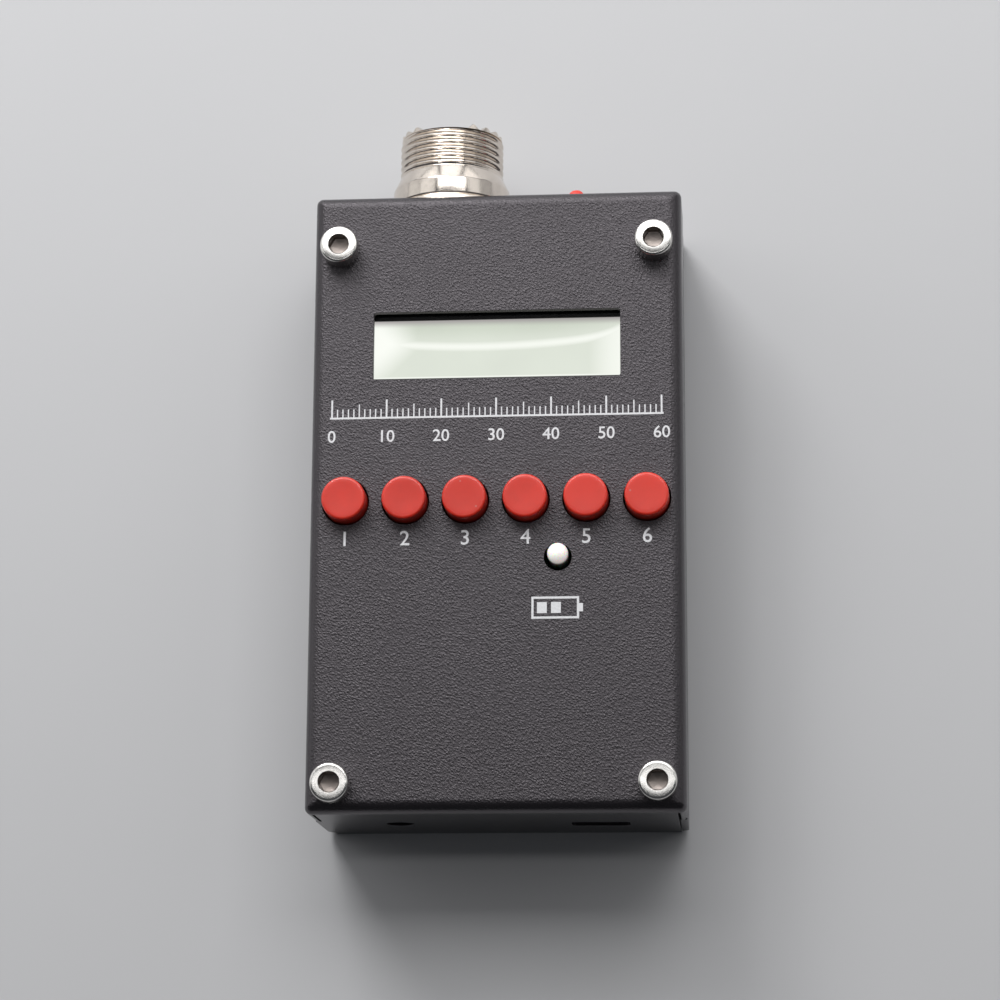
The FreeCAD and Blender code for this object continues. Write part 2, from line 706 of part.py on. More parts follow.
def make_board_header():
    """Socket strip that joins the two boards."""
    height = f"(display_board_z - {MAIN_TOP_Z})"
    size = ("(2 * pin_pitch)", "(header_pins * pin_pitch)", height)
    block("board_header", "header_x", "header_y", MAIN_TOP_Z, size)


# ---- keys and lamp -----------------------------------------------------------------------------


def make_key(number):
    """One push button: cap, stem and the switch on the display board."""
    x = f"({number} - {(KEY_COUNT + 1) / 2}) * key_pitch"
    cap = new_body(f"button_cap_{number}", x, "key_y", "case_depth")
    outline = new_sketch(cap, XY, "cap_proud")
    circle(outline, "0", "0", "cap_radius")
    pad(cap, outline, "cap_height", reverse=True)
    top = value("cap_proud")
    dress(cap, "Chamfer", "cap_edge", lambda edge: level_edge(top, edge))
    socket = new_sketch(cap, XY, "cap_proud - cap_height")
    rectangle(socket, "0", "0", "cap_socket", "cap_socket")
    pocket(cap, socket, "cap_socket_depth", along_normal=True)

    stem_top = "case_depth + cap_proud - cap_height + cap_socket_depth"
    stem_size = ("stem", "stem", f"({stem_top} - stem_bottom_z)")
    block(f"key_stem_{number}", x, "key_y", "stem_bottom_z", stem_size)

    size = ("key_body", "key_body", "key_body_height")
    body = block(f"key_switch_{number}", x, "key_y", DISPLAY_TOP_Z, size)
    guide = new_sketch(body, XY, "key_body_height")
    rectangle(guide, "0", "0", "key_well", "key_well")
    pocket(body, guide, "key_well_depth")


def make_charge_led():
    """Round lamp with a bevelled end and two legs down to the board."""
    body = new_body("charge_led", "led_x", "led_y + led_offset_y", LED_TOP_Z)
    lamp = new_sketch(body, XY)
    circle(lamp, "0", "0", "led_radius")
    pad(body, lamp, "led_body", reverse=True)
    dress(body, "Chamfer", "led_dome", lambda edge: level_edge(0, edge))
    legs = new_sketch(body, XY, "-led_body")
    for side in (-1, 1):
        rectangle(legs, f"{side} * pin_pitch / 2", "0", "led_leg", "led_leg")
    pad(body, legs, f"{LED_TOP_Z} - led_body - {DISPLAY_TOP_Z}", reverse=True)


# ---- antenna socket ----------------------------------------------------------------------------


def turned_on_socket_axis(name, outline):
    """A turned piece from (radius, height above the wall) pairs, on the antenna socket's axis."""
    body = new_body(name, "antenna_x", "case_length / 2", "antenna_z")
    profile = new_sketch(body, XY)
    polygon(profile, outline)
    revolve(body, profile)
    return body


def make_antenna_socket():
    """Screw-on antenna socket: shell, spacer ring, insulator, contact and what clamps it."""
    shell = turned_on_socket_axis(
        "antenna_socket",
        [
            ("shank_bore_radius", "-shank_length"),
            ("shank_radius", "-shank_length"),
            ("shank_radius", "ring_height"),
            ("flange_radius", "ring_height"),
            ("flange_radius", "cone_start"),
            ("thread_radius", "cone_end"),
            ("thread_radius", "rim_height"),
            ("mouth_radius", "rim_height"),
            ("mouth_radius", "mouth_floor"),
            ("shank_bore_radius", "mouth_floor"),
        ],
    )
    add_rim_teeth(shell)
    turned_on_socket_axis(
        "socket_spacer_ring",
        [
            ("shank_radius", "0"),
            ("ring_radius", "0"),
            ("ring_radius", "ring_height"),
            ("shank_radius", "ring_height"),
        ],
    )
    turned_on_socket_axis(
        "socket_insulator",
        [
            ("contact_radius", "mouth_floor"),
            ("mouth_radius", "mouth_floor"),
            ("mouth_radius", "insulator_face"),
            ("contact_radius", "insulator_face"),
        ],
    )
    make_contact()
    make_socket_nut()


def add_rim_teeth(body):
    """Two rows of pointed teeth on the rim, which the plug's body locks into."""
    half, half_tip = "tooth_width / 2", "tooth_tip_width / 2"
    slope = [(half, "rim_height - tooth_foot"), (half, "rim_height"), (half_tip, "tooth_tip")]
    for side, start in ((1, "tooth_right_start"), (-1, "tooth_left_start")):
        outline = facing_sketch(body, side, start, "mouth_radius")
        polygon(outline, slope + [(f"-{x}", height) for x, height in reversed(slope)])
        tooth = pad(body, outline, "tooth_outer_radius - mouth_radius")
        spread = f"{TEETH_PER_SIDE - 1} * tooth_pitch"
        repeat_round(body, tooth, spread, TEETH_PER_SIDE, backwards=side < 0)


def make_contact():
    """Centre contact: a slotted tube in front, a solder tail behind."""
    body = turned_on_socket_axis(
        "socket_contact",
        [
            ("0", "-tail_length"),
            ("tail_radius", "-tail_length"),
            ("tail_radius", "-shank_length"),
            ("contact_radius", "-shank_length"),
            ("contact_radius", "contact_reach"),
            ("contact_bore_radius", "contact_reach"),
            ("contact_bore_radius", "contact_floor"),
            ("0", "contact_floor"),
        ],
    )
    middle = f"contact_reach - (contact_slot_depth - {OVERCUT}) / 2"
    depth = f"(contact_slot_depth + {OVERCUT})"
    beyond = f"(contact_radius + {OVERCUT})"
    upright = new_sketch(body, XY, f"-{beyond}")
    across = new_sketch(body, YZ, f"-{beyond}")
    rectangle(upright, "0", middle, "contact_slot", depth)
    rectangle(across, middle, "0", depth, "contact_slot")
    for slot in (upright, across):
        pocket(body, slot, f"2 * {beyond}", along_normal=True)


def make_socket_nut():
    """Hexagon nut that clamps the socket from inside the wall."""
    body = new_body("socket_nut", "antenna_x", WALL_INNER_Y, "antenna_z")
    sketch = new_sketch(body, XZ)
    hexagon(sketch, "0", "0", "nut_flats")
    circle(sketch, "0", "0", "shank_radius")
    pad(body, sketch, "nut_height")


def make_signal_strip():
    """Flat strip that stands on the main board and meets the end of the contact's tail."""
    end_y = "case_length / 2 - tail_length - strip_thickness / 2"
    size = ("strip_width", "strip_thickness", f"(antenna_z + tail_radius - {MAIN_TOP_Z})")
    block("signal_strip", "antenna_x", end_y, MAIN_TOP_Z, size)


# ---- power button, DC socket, USB socket -------------------------------------------------------


def make_power_switch():
    """Push switch on the display board, its plunger, and the red button through the wall."""
    length = "power_switch_length"
    body = block(
        "power_switch",
        "power_x",
        f"power_switch_front_y - {length} / 2",
        DISPLAY_TOP_Z,
        ("power_switch_width", length, "power_switch_height"),
        "power_switch_edge",
    )
    guide = new_sketch(body, XZ, f"-{length} / 2")
    rectangle(guide, "0", f"(power_z - {DISPLAY_TOP_Z})", "plunger_guide", "plunger_guide")
    pocket(body, guide, "plunger_inside + power_travel + plunger_spare", along_normal=True)

    cap_base = "(power_proud - power_cap_length)"
    plunger = new_body("power_plunger", "power_x", "case_length / 2", "power_z")
    start = "(power_switch_front_y - plunger_inside - case_length / 2)"
    rod = new_sketch(plunger, XZ, f"-{start}")
    rectangle(rod, "0", "0", "plunger", "plunger")
    pad(plunger, rod, f"{cap_base} + plunger_grip - {start}", reverse=True)

    cap = new_body("power_button", "power_x", "case_length / 2", "power_z")
    profile = new_sketch(cap, XY)
    collar_top = f"{cap_base} + power_collar_thickness"
    polygon(
        profile,
        [
            ("0", "power_proud"),
            ("0", cap_base),
            ("power_collar_radius", cap_base),
            ("power_collar_radius", collar_top),
            ("power_cap_radius", collar_top),
            ("power_cap_radius", "power_nose_start"),
            ("power_nose_radius", "power_proud"),
        ],
    )
    revolve(cap, profile)
    socket = new_sketch(cap, XZ, f"-{cap_base}")
    rectangle(socket, "0", "0", "(plunger + plunger_fit)", "(plunger + plunger_fit)")
    pocket(cap, socket, "plunger_grip")


def make_dc_socket():
    """Round DC socket on the main board behind the bottom wall, and its centre pin."""
    middle_y = f"-{WALL_INNER_Y} + dc_length / 2"
    size = ("dc_width", "dc_length", "dc_height")
    body = block("dc_jack", "dc_x", middle_y, MAIN_TOP_Z, size, "dc_edge")
    bore = new_sketch(body, XZ, "dc_length / 2")
    circle(bore, "0", "dc_height / 2", "dc_bore_radius")
    pocket(body, bore, "dc_bore_depth")

    pin = new_body("dc_pin", "dc_x", f"-{WALL_INNER_Y} + dc_bore_depth", DC_Z)
    rod = new_sketch(pin, XZ)
    circle(rod, "0", "0", "dc_pin_radius")
    pad(pin, rod, "dc_pin_length")


def make_usb_socket():
    """USB socket: a folded steel shell with bevelled lower corners, and the tongue inside."""
    front_y = "-(case_length / 2 - sheet / 2)"
    body = new_body("usb_shell", "usb_x", front_y, USB_Z)
    half, low, high = "usb_width / 2", "-usb_height / 2", "usb_height / 2"

    def section(shrink):
        bevel_x, bevel_z = f"{half} - usb_bevel", f"{low} + usb_bevel"
        side, floor, roof = f"({half} - {shrink})", f"({low} + {shrink})", f"({high} - {shrink})"
        right = [(bevel_x, floor), (side, bevel_z), (side, roof)]
        return right + [(f"-({x})", z) for x, z in reversed(right)]

    outside = new_sketch(body, XZ)
    polygon(outside, section("0"))
    pad(body, outside, "usb_length", reverse=True)
    inside = new_sketch(body, XZ)
    polygon(inside, section("usb_wall"))
    pocket(body, inside, "usb_depth")

    tongue = new_body("usb_tongue", "usb_x", f"{front_y} + usb_depth", f"{USB_Z} + usb_tongue_lift")
    sketch = new_sketch(tongue, XZ)
    rectangle(sketch, "0", "0", "usb_tongue_width", "usb_tongue_thickness")
    pad(tongue, sketch, "usb_tongue_length")


# ---- battery and parts of the main board -------------------------------------------------------


def make_battery():
    """Flat pouch on a foam pad, with two tabs to a clip under the main board."""
    pad_width, pad_length = (f"(battery_{size} - 2 * pad_margin)" for size in ("width", "length"))
    pad_size = (pad_width, pad_length, "pad_thickness")
    block("battery_pad", "0", "battery_y", "sheet", pad_size)
    pouch_size = ("battery_width", "battery_length", "battery_thickness")
    pouch = block("battery_pouch", "0", "battery_y", "sheet + pad_thickness", pouch_size)
    top = value("battery_thickness")
    dress(pouch, "Chamfer", "battery_edge", lambda edge: level_edge(top, edge))

    edge_y = "(battery_y + battery_length / 2)"
    for name, side in (("battery_tab_plus", -1), ("battery_tab_minus", 1)):
        x = f"tab_x + {side} * tab_spacing / 2"
        tab_size = ("strip_width", "tab_length", "strip_thickness")
        block(name, x, f"{edge_y} + tab_length / 2", "tab_z", tab_size)

    clip_y = f"{edge_y} + tab_length + clip_length / 2"
    clip_z = "(tab_z - clip_height / 2)"
    clip_size = ("clip_width", "clip_length", f"(main_board_z - {clip_z})")
    block("battery_clip", "tab_x", clip_y, clip_z, clip_size)


def make_main_board_parts():
    """Chips, the oscillator's can and a row of block capacitors."""
    for name in BOARD_PIECES:
        size = (f"{name}_width", f"{name}_length", f"{name}_height")
        block(name, f"{name}_x", f"{name}_y", MAIN_TOP_Z, size, f"{name}_corner")

    body = new_body("filter_capacitors", z=MAIN_TOP_Z)
    sketch = new_sketch(body, XY)
    for i in range(CAPACITOR_COUNT):
        x = f"(capacitor_x + {i} * capacitor_pitch)"
        rectangle(sketch, x, "capacitor_y", "capacitor_width", "capacitor_length")
    pad(body, sketch, "capacitor_height")


# ---- building and writing ----------------------------------------------------------------------


def check_document():
    """Stop at the first object that failed, and at a sub-part with no sound shape."""
    for item in doc.Objects:
        if "Invalid" in item.State or "Error" in item.State:
            raise RuntimeError(f"{item.Name} failed: {item.State}")
    for piece in pieces:
        if piece.Shape.isNull() or not piece.Shape.isValid() or not piece.Shape.Solids:
            raise RuntimeError(f"{piece.Label} has no valid solid")


def write_steps():
    os.makedirs("parts", exist_ok=True)
    for piece in pieces:
        piece.Shape.exportStep(os.path.join("parts", f"{piece.Label}.step"))


def main():
    fill_sheet()
    make_front_shell()
    make_rear_shell()
    make_cover_screws()
    make_all_standoffs()
    make_board("main_board", "main_board_z")
    make_board("display_board", "display_board_z")
    make_display()
    make_board_header()
    for number in range(1, KEY_COUNT + 1):
        make_key(number)
    make_charge_led()
    make_antenna_socket()
    make_signal_strip()
    make_power_switch()
    make_dc_socket()
    make_usb_socket()
    make_battery()
    make_main_board_parts()
    doc.recompute()
    check_document()
    write_steps()


main()
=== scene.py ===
"""Finished look of a pocket antenna analyzer: coated case, screws, keys, lamp, display, sockets, print."""

import math
from contextlib import contextmanager

import bmesh
import bpy
import numpy as np
from mathutils import Euler, Matrix, Vector


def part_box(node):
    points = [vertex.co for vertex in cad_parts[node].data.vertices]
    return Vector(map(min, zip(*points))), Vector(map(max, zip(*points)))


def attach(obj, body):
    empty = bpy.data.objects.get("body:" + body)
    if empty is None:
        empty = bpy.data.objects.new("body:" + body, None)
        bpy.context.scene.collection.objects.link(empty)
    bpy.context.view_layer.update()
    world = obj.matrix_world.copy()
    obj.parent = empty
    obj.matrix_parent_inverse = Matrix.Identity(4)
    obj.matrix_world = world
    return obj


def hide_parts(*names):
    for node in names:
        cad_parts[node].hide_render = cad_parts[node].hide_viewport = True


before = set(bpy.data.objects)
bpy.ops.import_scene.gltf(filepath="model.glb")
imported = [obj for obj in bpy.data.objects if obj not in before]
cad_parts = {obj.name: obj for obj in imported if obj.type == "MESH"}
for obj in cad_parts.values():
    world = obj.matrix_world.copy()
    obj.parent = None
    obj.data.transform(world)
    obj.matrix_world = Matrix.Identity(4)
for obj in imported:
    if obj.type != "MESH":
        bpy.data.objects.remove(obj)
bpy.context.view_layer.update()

bl_info = {
    "name": "Pocket Antenna Analyzer",
    "version": (1, 0, 0),
    "blender": (4, 5, 0),
    "location": "3D View > Sidebar > Analyzer",
    "description": "Builds the finished look of a pocket antenna analyzer on its packed solids",
    "category": "Object",
}

MM = 0.001
FULL_TURN = 2 * math.pi
KEYS = range(1, 7)


def middle(node):
    """Centre of a solid's box, in metres."""
    low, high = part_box(node)
    return (low + high) / 2


FACE_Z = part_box("front_shell")[1].z
WALL_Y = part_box("front_shell")[1].y
SOCKET_CENTRE = middle("socket_spacer_ring")
POWER_CENTRE = middle("power_button")


# Sizes that follow the solids.
HEAD_RADIUS = 2.75 * MM
SHANK_RADIUS = 1.45 * MM
HEAD_HEIGHT = 3 * MM
KEYWAY_RADIUS = 1.5 * MM
POWER_RADIUS = 1.5 * MM
COLLAR_RADIUS = 1.9 * MM
LAMP_HEIGHT = 5.3 * MM
LEG_SPREAD = 1.27 * MM
CREST_RADIUS = 7.8 * MM
THREAD_START = 6.15 * MM
RIM = 12.19 * MM

# Places of the print on the face, from the middle of the case.
SCALE_LEFT = -23.9 * MM
TICK_STEP = 0.797 * MM
SCALE_BASE = 11.78 * MM
SCALE_NUMBERS_Y = 8.8 * MM
KEY_NUMBERS_Y = -6.4 * MM


# ---- sizes and colours that a user would change -------------------------------------------------


def length(name, description, default, low=0.0, high=0.05):
    return bpy.props.FloatProperty(
        name=name, description=description, default=default, min=low, max=high,
        subtype="DISTANCE", unit="LENGTH", precision=5,
    )


def colour(name, description, default):
    return bpy.props.FloatVectorProperty(
        name=name, description=description, default=default, min=0.0, max=1.0, size=3, subtype="COLOR"
    )


def angle(name, description, degrees):
    return bpy.props.FloatProperty(
        name=name, description=description, default=math.radians(degrees), subtype="ANGLE", unit="ROTATION"
    )


class CaseSettings(bpy.types.PropertyGroup):
    coat_colour: colour("Coat colour", "Black powder coat of both shells", (0.0070, 0.0060, 0.0072))
    grain: length("Grain", "Width of one pebble of the coat", 0.25 * MM, 0.05 * MM)
    grain_depth: length("Grain depth", "Height of the pebbles", 0.09 * MM)
    edge_radius: length("Edge radius", "How far the coat rounds a cut edge", 0.14 * MM)


class ScrewSettings(bpy.types.PropertyGroup):
    steel_colour: colour("Steel colour", "Polished cap screws", (0.80, 0.78, 0.75))
    crown_radius: length("Crown radius", "Rounding of the head's upper edge", 0.42 * MM)
    cone_depth: length("Cone depth", "Drill cone at the bottom of the hexagon", 0.45 * MM)


class KeySettings(bpy.types.PropertyGroup):
    cap_colour: colour("Cap colour", "Red plastic of the caps", (0.68, 0.030, 0.012))
    rim_radius: length("Rim radius", "Rounding of a cap's upper edge", 0.42 * MM)
    dish: length("Dish", "How far the middle of a cap sinks", 0.04 * MM)


class LampSettings(bpy.types.PropertyGroup):
    lens_colour: colour("Lens colour", "Milky body of the charge lamp", (0.97, 0.89, 0.84))


class DisplaySettings(bpy.types.PropertyGroup):
    glow_colour: colour("Glow colour", "Backlit display", (0.60, 0.65, 0.555))
    glow: bpy.props.FloatProperty(
        name="Glow", description="Strength of the backlight", default=1.0, min=0.0
    )


class SocketSettings(bpy.types.PropertyGroup):
    nickel_colour: colour("Nickel colour", "Plating of the antenna socket", (0.76, 0.69, 0.62))
    thread_pitch: length("Thread pitch", "5/8 inch, 24 turns to the inch", 1.058 * MM, 0.2 * MM)
    thread_depth: length("Thread depth", "Crest to root", 0.5 * MM)
    tooth_height: length("Tooth height", "Locking teeth on the rim", 0.82 * MM)
    tooth_pitch: angle("Tooth pitch", "Angle from one tooth to the next", 18)


class PrintSettings(bpy.types.PropertyGroup):
    ink_colour: colour("Ink colour", "Screen print on the face", (0.80, 0.80, 0.82))
    ink_height: length("Ink height", "Thickness of the print", 0.02 * MM)


class StageSettings(bpy.types.PropertyGroup):
    floor_colour: colour("Floor colour", "Pale floor", (0.58, 0.58, 0.59))
    panel_light: bpy.props.FloatProperty(
        name="Panel light", description="Radiance of the brightest panel", default=2.5, min=0.0
    )
    focal_length: bpy.props.FloatProperty(
        name="Focal length", description="Lens on a 36 mm sensor", default=103.148, min=1.0,
        subtype="DISTANCE_CAMERA",
    )
    camera_place: bpy.props.FloatVectorProperty(
        name="Camera place", description="Camera position", size=3, subtype="TRANSLATION", unit="LENGTH",
        default=(0.0354561, -0.0949075, 0.4237145),
    )
    camera_turn: bpy.props.FloatVectorProperty(
        name="Camera turn", description="Camera rotation, X then Y then Z", size=3,
        subtype="EULER", unit="ROTATION",
        default=tuple(math.radians(turn) for turn in (13.24833, 4.92184, 0.28764)),
    )


SETTINGS = {
    "analyzer_case": CaseSettings,
    "analyzer_screws": ScrewSettings,
    "analyzer_keys": KeySettings,
    "analyzer_lamp": LampSettings,
    "analyzer_display": DisplaySettings,
    "analyzer_socket": SocketSettings,
    "analyzer_print": PrintSettings,
    "analyzer_stage": StageSettings,
}


# ---- surfaces -----------------------------------------------------------------------------------


def rounded(corners, steps=5):
    """Profile of straight runs whose corners are rounded. A corner is (radius, height, rounding).

    The rounding is a parabola: for t from 0 to 1, the point is (1-t)^2 times the start of the bend
    plus 2t(1-t) times the corner plus t^2 times the bend's end, and both ends lie on the runs.
    """
    points = np.array([corner[:2] for corner in corners], float)
    t = np.linspace(0, 1, steps)[:, None]
    made = []
    for index, (*_, rounding) in enumerate(corners):
        here = points[index]
        if rounding == 0:
            made.append(here[None])
            continue
        before, after = points[index - 1], points[(index + 1) % len(points)]
        start = here + (before - here) * rounding / np.linalg.norm(before - here)
        end = here + (after - here) * rounding / np.linalg.norm(after - here)
        made.append((1 - t) ** 2 * start + 2 * t * (1 - t) * here + t**2 * end)
    return np.concatenate(made)


def in_metres(corners):
    """Corners of a profile, written in millimetres."""
    return [tuple(number * MM for number in corner) for corner in corners]


def turned(profile, sides=96):
    """Grid of a profile turned about Z.

    The point at row i and column j has radius r_i, angle 2 pi j / sides and height h_i.
    """
    turn = np.linspace(0, FULL_TURN, sides, endpoint=False)
    radius, height = np.asarray(profile, float).T
    across = radius[:, None] * np.cos(turn)
    along = radius[:, None] * np.sin(turn)
    return np.stack([across, along, np.broadcast_to(height[:, None], across.shape)], axis=-1)


def onto_y_axis(grid, centre):
    """A shape made about Z, laid so that its height runs along +Y and its angles go from +X to +Z."""
    return grid[..., [0, 2, 1]] + np.array(centre)


def grid_faces(rows, columns, ring):
    """Quads of a grid whose columns close round. With ring, the last row also joins the first."""
    i = np.arange(rows if ring else rows - 1)[:, None]
    j = np.arange(columns)[None, :]
    below, above = i * columns, (i + 1) % rows * columns
    right = (j + 1) % columns
    return np.stack([below + j, below + right, above + right, above + j], axis=-1).reshape(-1, 4)


def bars(lows, highs):
    """Points and faces of upright bars: the corners of bar n are every mix of lows[n] and highs[n]."""
    lows, highs = np.asarray(lows, float), np.asarray(highs, float)
    pick = np.array([[x, y, z] for z in (0, 1) for y in (0, 1) for x in (0, 1)])
    points = lows[:, None] + (highs - lows)[:, None] * pick
    sides = np.array(
        [[0, 2, 3, 1], [4, 5, 7, 6], [0, 1, 5, 4], [2, 6, 7, 3], [0, 4, 6, 2], [1, 3, 7, 5]]
    )
    faces = np.arange(len(lows))[:, None, None] * 8 + sides
    return points.reshape(-1, 3), faces.reshape(-1, 4)


@contextmanager
def editing(mesh):
    """Opens a mesh for changes and writes them back."""
    shape = bmesh.new()
    shape.from_mesh(mesh)
    yield shape
    shape.to_mesh(mesh)
    shape.free()


def closed_mesh(name, parts):
    """One mesh of several (points, faces) parts. Equal points are merged and the faces turned outwards."""
    points, faces, count = [], [], 0
    for part_points, part_faces in parts:
        part_points = np.asarray(part_points, float).reshape(-1, 3)
        points.append(part_points)
        faces += (np.asarray(part_faces) + count).tolist()
        count += len(part_points)
    mesh = bpy.data.meshes.new(name)
    mesh.from_pydata(np.concatenate(points).tolist(), [], faces)
    with editing(mesh) as shape:
        bmesh.ops.remove_doubles(shape, verts=shape.verts, dist=2e-7)
        bmesh.ops.recalc_face_normals(shape, faces=shape.faces)
    return mesh


def turned_part(grid, ring=False):
    return grid.reshape(-1, 3), grid_faces(grid.shape[0], grid.shape[1], ring)


def place(name, mesh, material, body="case", slot=None, replaces=(), crease=32):
    """Puts a finished mesh into the scene as a piece that rides on a body of the frame."""
    mesh.polygons.foreach_set("use_smooth", np.ones(len(mesh.polygons), bool))
    mesh.set_sharp_from_angle(angle=math.radians(crease))
    mesh.materials.append(material)
    piece = bpy.data.objects.new(name, mesh)
    bpy.context.scene.collection.objects.link(piece)
    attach(piece, body)
    if replaces:
        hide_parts(*replaces)
    return piece


def add_piece(name, parts, *finish, **options):
    """Makes one closed mesh of several parts and places it."""
    return place(name, closed_mesh(name, parts), *finish, **options)


def merged_copy(node):
    """Closed copy of a solid's mesh: equal corners become one point, flat neighbours become one face."""
    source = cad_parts[node].data
    corners = np.empty(len(source.vertices) * 3)
    source.vertices.foreach_get("co", corners)
    loops = np.empty(len(source.loops), int)
    source.loops.foreach_get("vertex_index", loops)
    points, which = np.unique(corners.reshape(-1, 3).round(7), axis=0, return_inverse=True)
    triangles = which.reshape(-1)[loops].reshape(-1, 3)
    whole = (triangles != np.roll(triangles, 1, axis=1)).all(axis=1)
    mesh = closed_mesh(node + "_dressed", [(points, triangles[whole])])
    with editing(mesh) as shape:
        bmesh.ops.dissolve_limit(
            shape, angle_limit=math.radians(0.5), verts=shape.verts, edges=shape.edges
        )
    return mesh


def dressed(node, material, edge, slot, segments=2):
    """A solid's own shape with its cut edges rounded, shown in place of the solid."""
    piece = place(node + "_dressed", merged_copy(node), material, "case", slot, [node], crease=40)
    rounding = piece.modifiers.new("rounded edges", "BEVEL")
    rounding.width = edge
    rounding.segments = segments
    rounding.limit_method = "ANGLE"
    rounding.angle_limit = math.radians(40)
    rounding.use_clamp_overlap = True
    flats = piece.modifiers.new("flat faces stay flat", "WEIGHTED_NORMAL")
    flats.keep_sharp = True
    return piece


# ---- node tools ---------------------------------------------------------------------------------


def node(tree, kind, inputs=None, **options):
    """Adds a shader node, sets its options, and fills its inputs with values or links."""
    made = tree.nodes.new("ShaderNode" + kind)
    for name, setting in options.items():
        setattr(made, name, setting)
    for name, source in (inputs or {}).items():
        if isinstance(source, bpy.types.NodeSocket):
            tree.links.new(source, made.inputs[name])
        else:
            made.inputs[name].default_value = source
    return made


def maths(tree, operation, first, second=0.5):
    return node(tree, "Math", {0: first, 1: second}, operation=operation).outputs[0]


def times(tree, first, second):
    return maths(tree, "MULTIPLY", first, second)


def plus(tree, first, second):
    return maths(tree, "ADD", first, second)


def divided(tree, vector, size):
    """A vector over a size, so that one unit of it is one grain, ring or speck spacing."""
    inputs = {0: vector, "Scale": maths(tree, "DIVIDE", 1.0, size)}
    return node(tree, "VectorMath", inputs, operation="SCALE").outputs[0]


def ramp(tree, source, low, high, to_low=0.0, to_high=1.0):
    """Smooth step: to_low below low, to_high above high."""
    inputs = {"Value": source, "From Min": low, "From Max": high, "To Min": to_low, "To Max": to_high}
    return node(tree, "MapRange", inputs, interpolation_type="SMOOTHSTEP").outputs["Result"]


def blend_colours(tree, amount, first, second):
    made = node(tree, "Mix", data_type="RGBA")
    for socket, source in ((made.inputs[0], amount), (made.inputs[6], first), (made.inputs[7], second)):
        if isinstance(source, bpy.types.NodeSocket):
            tree.links.new(source, socket)
        else:
            socket.default_value = source
    return made.outputs[2]


def noise(tree, vector, scale, detail, **inputs):
    """Grey noise read at a vector."""
    inputs = {"Vector": vector, "Scale": scale, "Detail": detail, **inputs}
    return node(tree, "TexNoise", inputs).outputs["Fac"]


def opaque(rgb, factor=1.0):
    return (*[min(1.0, channel * factor) for channel in rgb], 1.0)


def shades(tree, amount, rgb, low, high):
    """One colour, times low where the amount is 0 and times high where it is 1."""
    return blend_colours(tree, amount, opaque(rgb, low), opaque(rgb, high))


def new_group(name, inputs, outputs):
    """Node group whose inputs are (name, type, default) and whose outputs are (name, type)."""
    tree = bpy.data.node_groups.new(name, "ShaderNodeTree")
    for label, kind, default in inputs:
        socket = tree.interface.new_socket(label, in_out="INPUT", socket_type="NodeSocket" + kind)
        if default is not None:
            socket.default_value = default
    for label, kind in outputs:
        tree.interface.new_socket(label, in_out="OUTPUT", socket_type="NodeSocket" + kind)
    return tree, tree.nodes.new("NodeGroupInput").outputs, tree.nodes.new("NodeGroupOutput").inputs


def grain_group():
    """Pebbles drawn out a little along a diagonal, with wrinkles between them.

    The coordinate is divided by the grain size. A pebble's height is a smooth step of the distance d to
    the nearest random point, 1 at d = 0.05 and 0 at d = 0.75. Half of that, three tenths of a distorted
    noise and a fifth of a finer noise make the height.
    """
    tree, given, out = new_group(
        "wrinkled grain",
        [("Vector", "Vector", None), ("Size", "Float", 0.0004), ("Stretch", "Float", 1.3)],
        [("Height", "Float")],
    )
    scaled = divided(tree, given["Vector"], given["Size"])
    stretch = node(tree, "CombineXYZ", {"X": given["Stretch"], "Y": 1.0, "Z": 1.0}).outputs[0]
    diagonal = {"Vector": scaled, "Rotation": (0, 0, math.radians(-40)), "Scale": stretch}
    slanted = node(tree, "Mapping", diagonal, vector_type="TEXTURE").outputs[0]
    coarse = noise(tree, slanted, 1.1, 2.0, Distortion=0.5)
    fine = noise(tree, scaled, 3.6, 2.0, Roughness=0.6)
    nearest = node(tree, "TexVoronoi", {"Vector": slanted, "Scale": 0.8}).outputs["Distance"]
    pebble = times(tree, ramp(tree, nearest, 0.05, 0.75, 1.0, 0.0), 0.5)
    wrinkle = times(tree, ramp(tree, coarse, 0.3, 0.7), 0.3)
    tree.links.new(plus(tree, plus(tree, pebble, wrinkle), times(tree, fine, 0.2)), out["Height"])
    return tree


def turning_group():
    """Fine rings left by a lathe about the Z axis of the coordinate, and slow stains.

    The noise is read at (distance from the axis, height along it), so it is the same all the way round.
    """
    tree, given, out = new_group(
        "lathe rings",
        [("Vector", "Vector", None), ("Spacing", "Float", 0.00006)],
        [("Height", "Float"), ("Stain", "Float")],
    )
    axes = node(tree, "SeparateXYZ", {0: given["Vector"]}).outputs
    flat = node(tree, "CombineXYZ", {"X": axes[0], "Y": axes[1]}).outputs[0]
    radius = node(tree, "VectorMath", {0: flat}, operation="LENGTH").outputs["Value"]
    place_on_profile = node(tree, "CombineXYZ", {"X": radius, "Y": axes[2]}).outputs[0]
    rings = noise(tree, divided(tree, place_on_profile, given["Spacing"]), 1.0, 2.0)
    stain = noise(tree, given["Vector"], 420.0, 4.0, Roughness=0.6)
    tree.links.new(rings, out["Height"])
    tree.links.new(ramp(tree, stain, 0.42, 0.72), out["Stain"])
    return tree


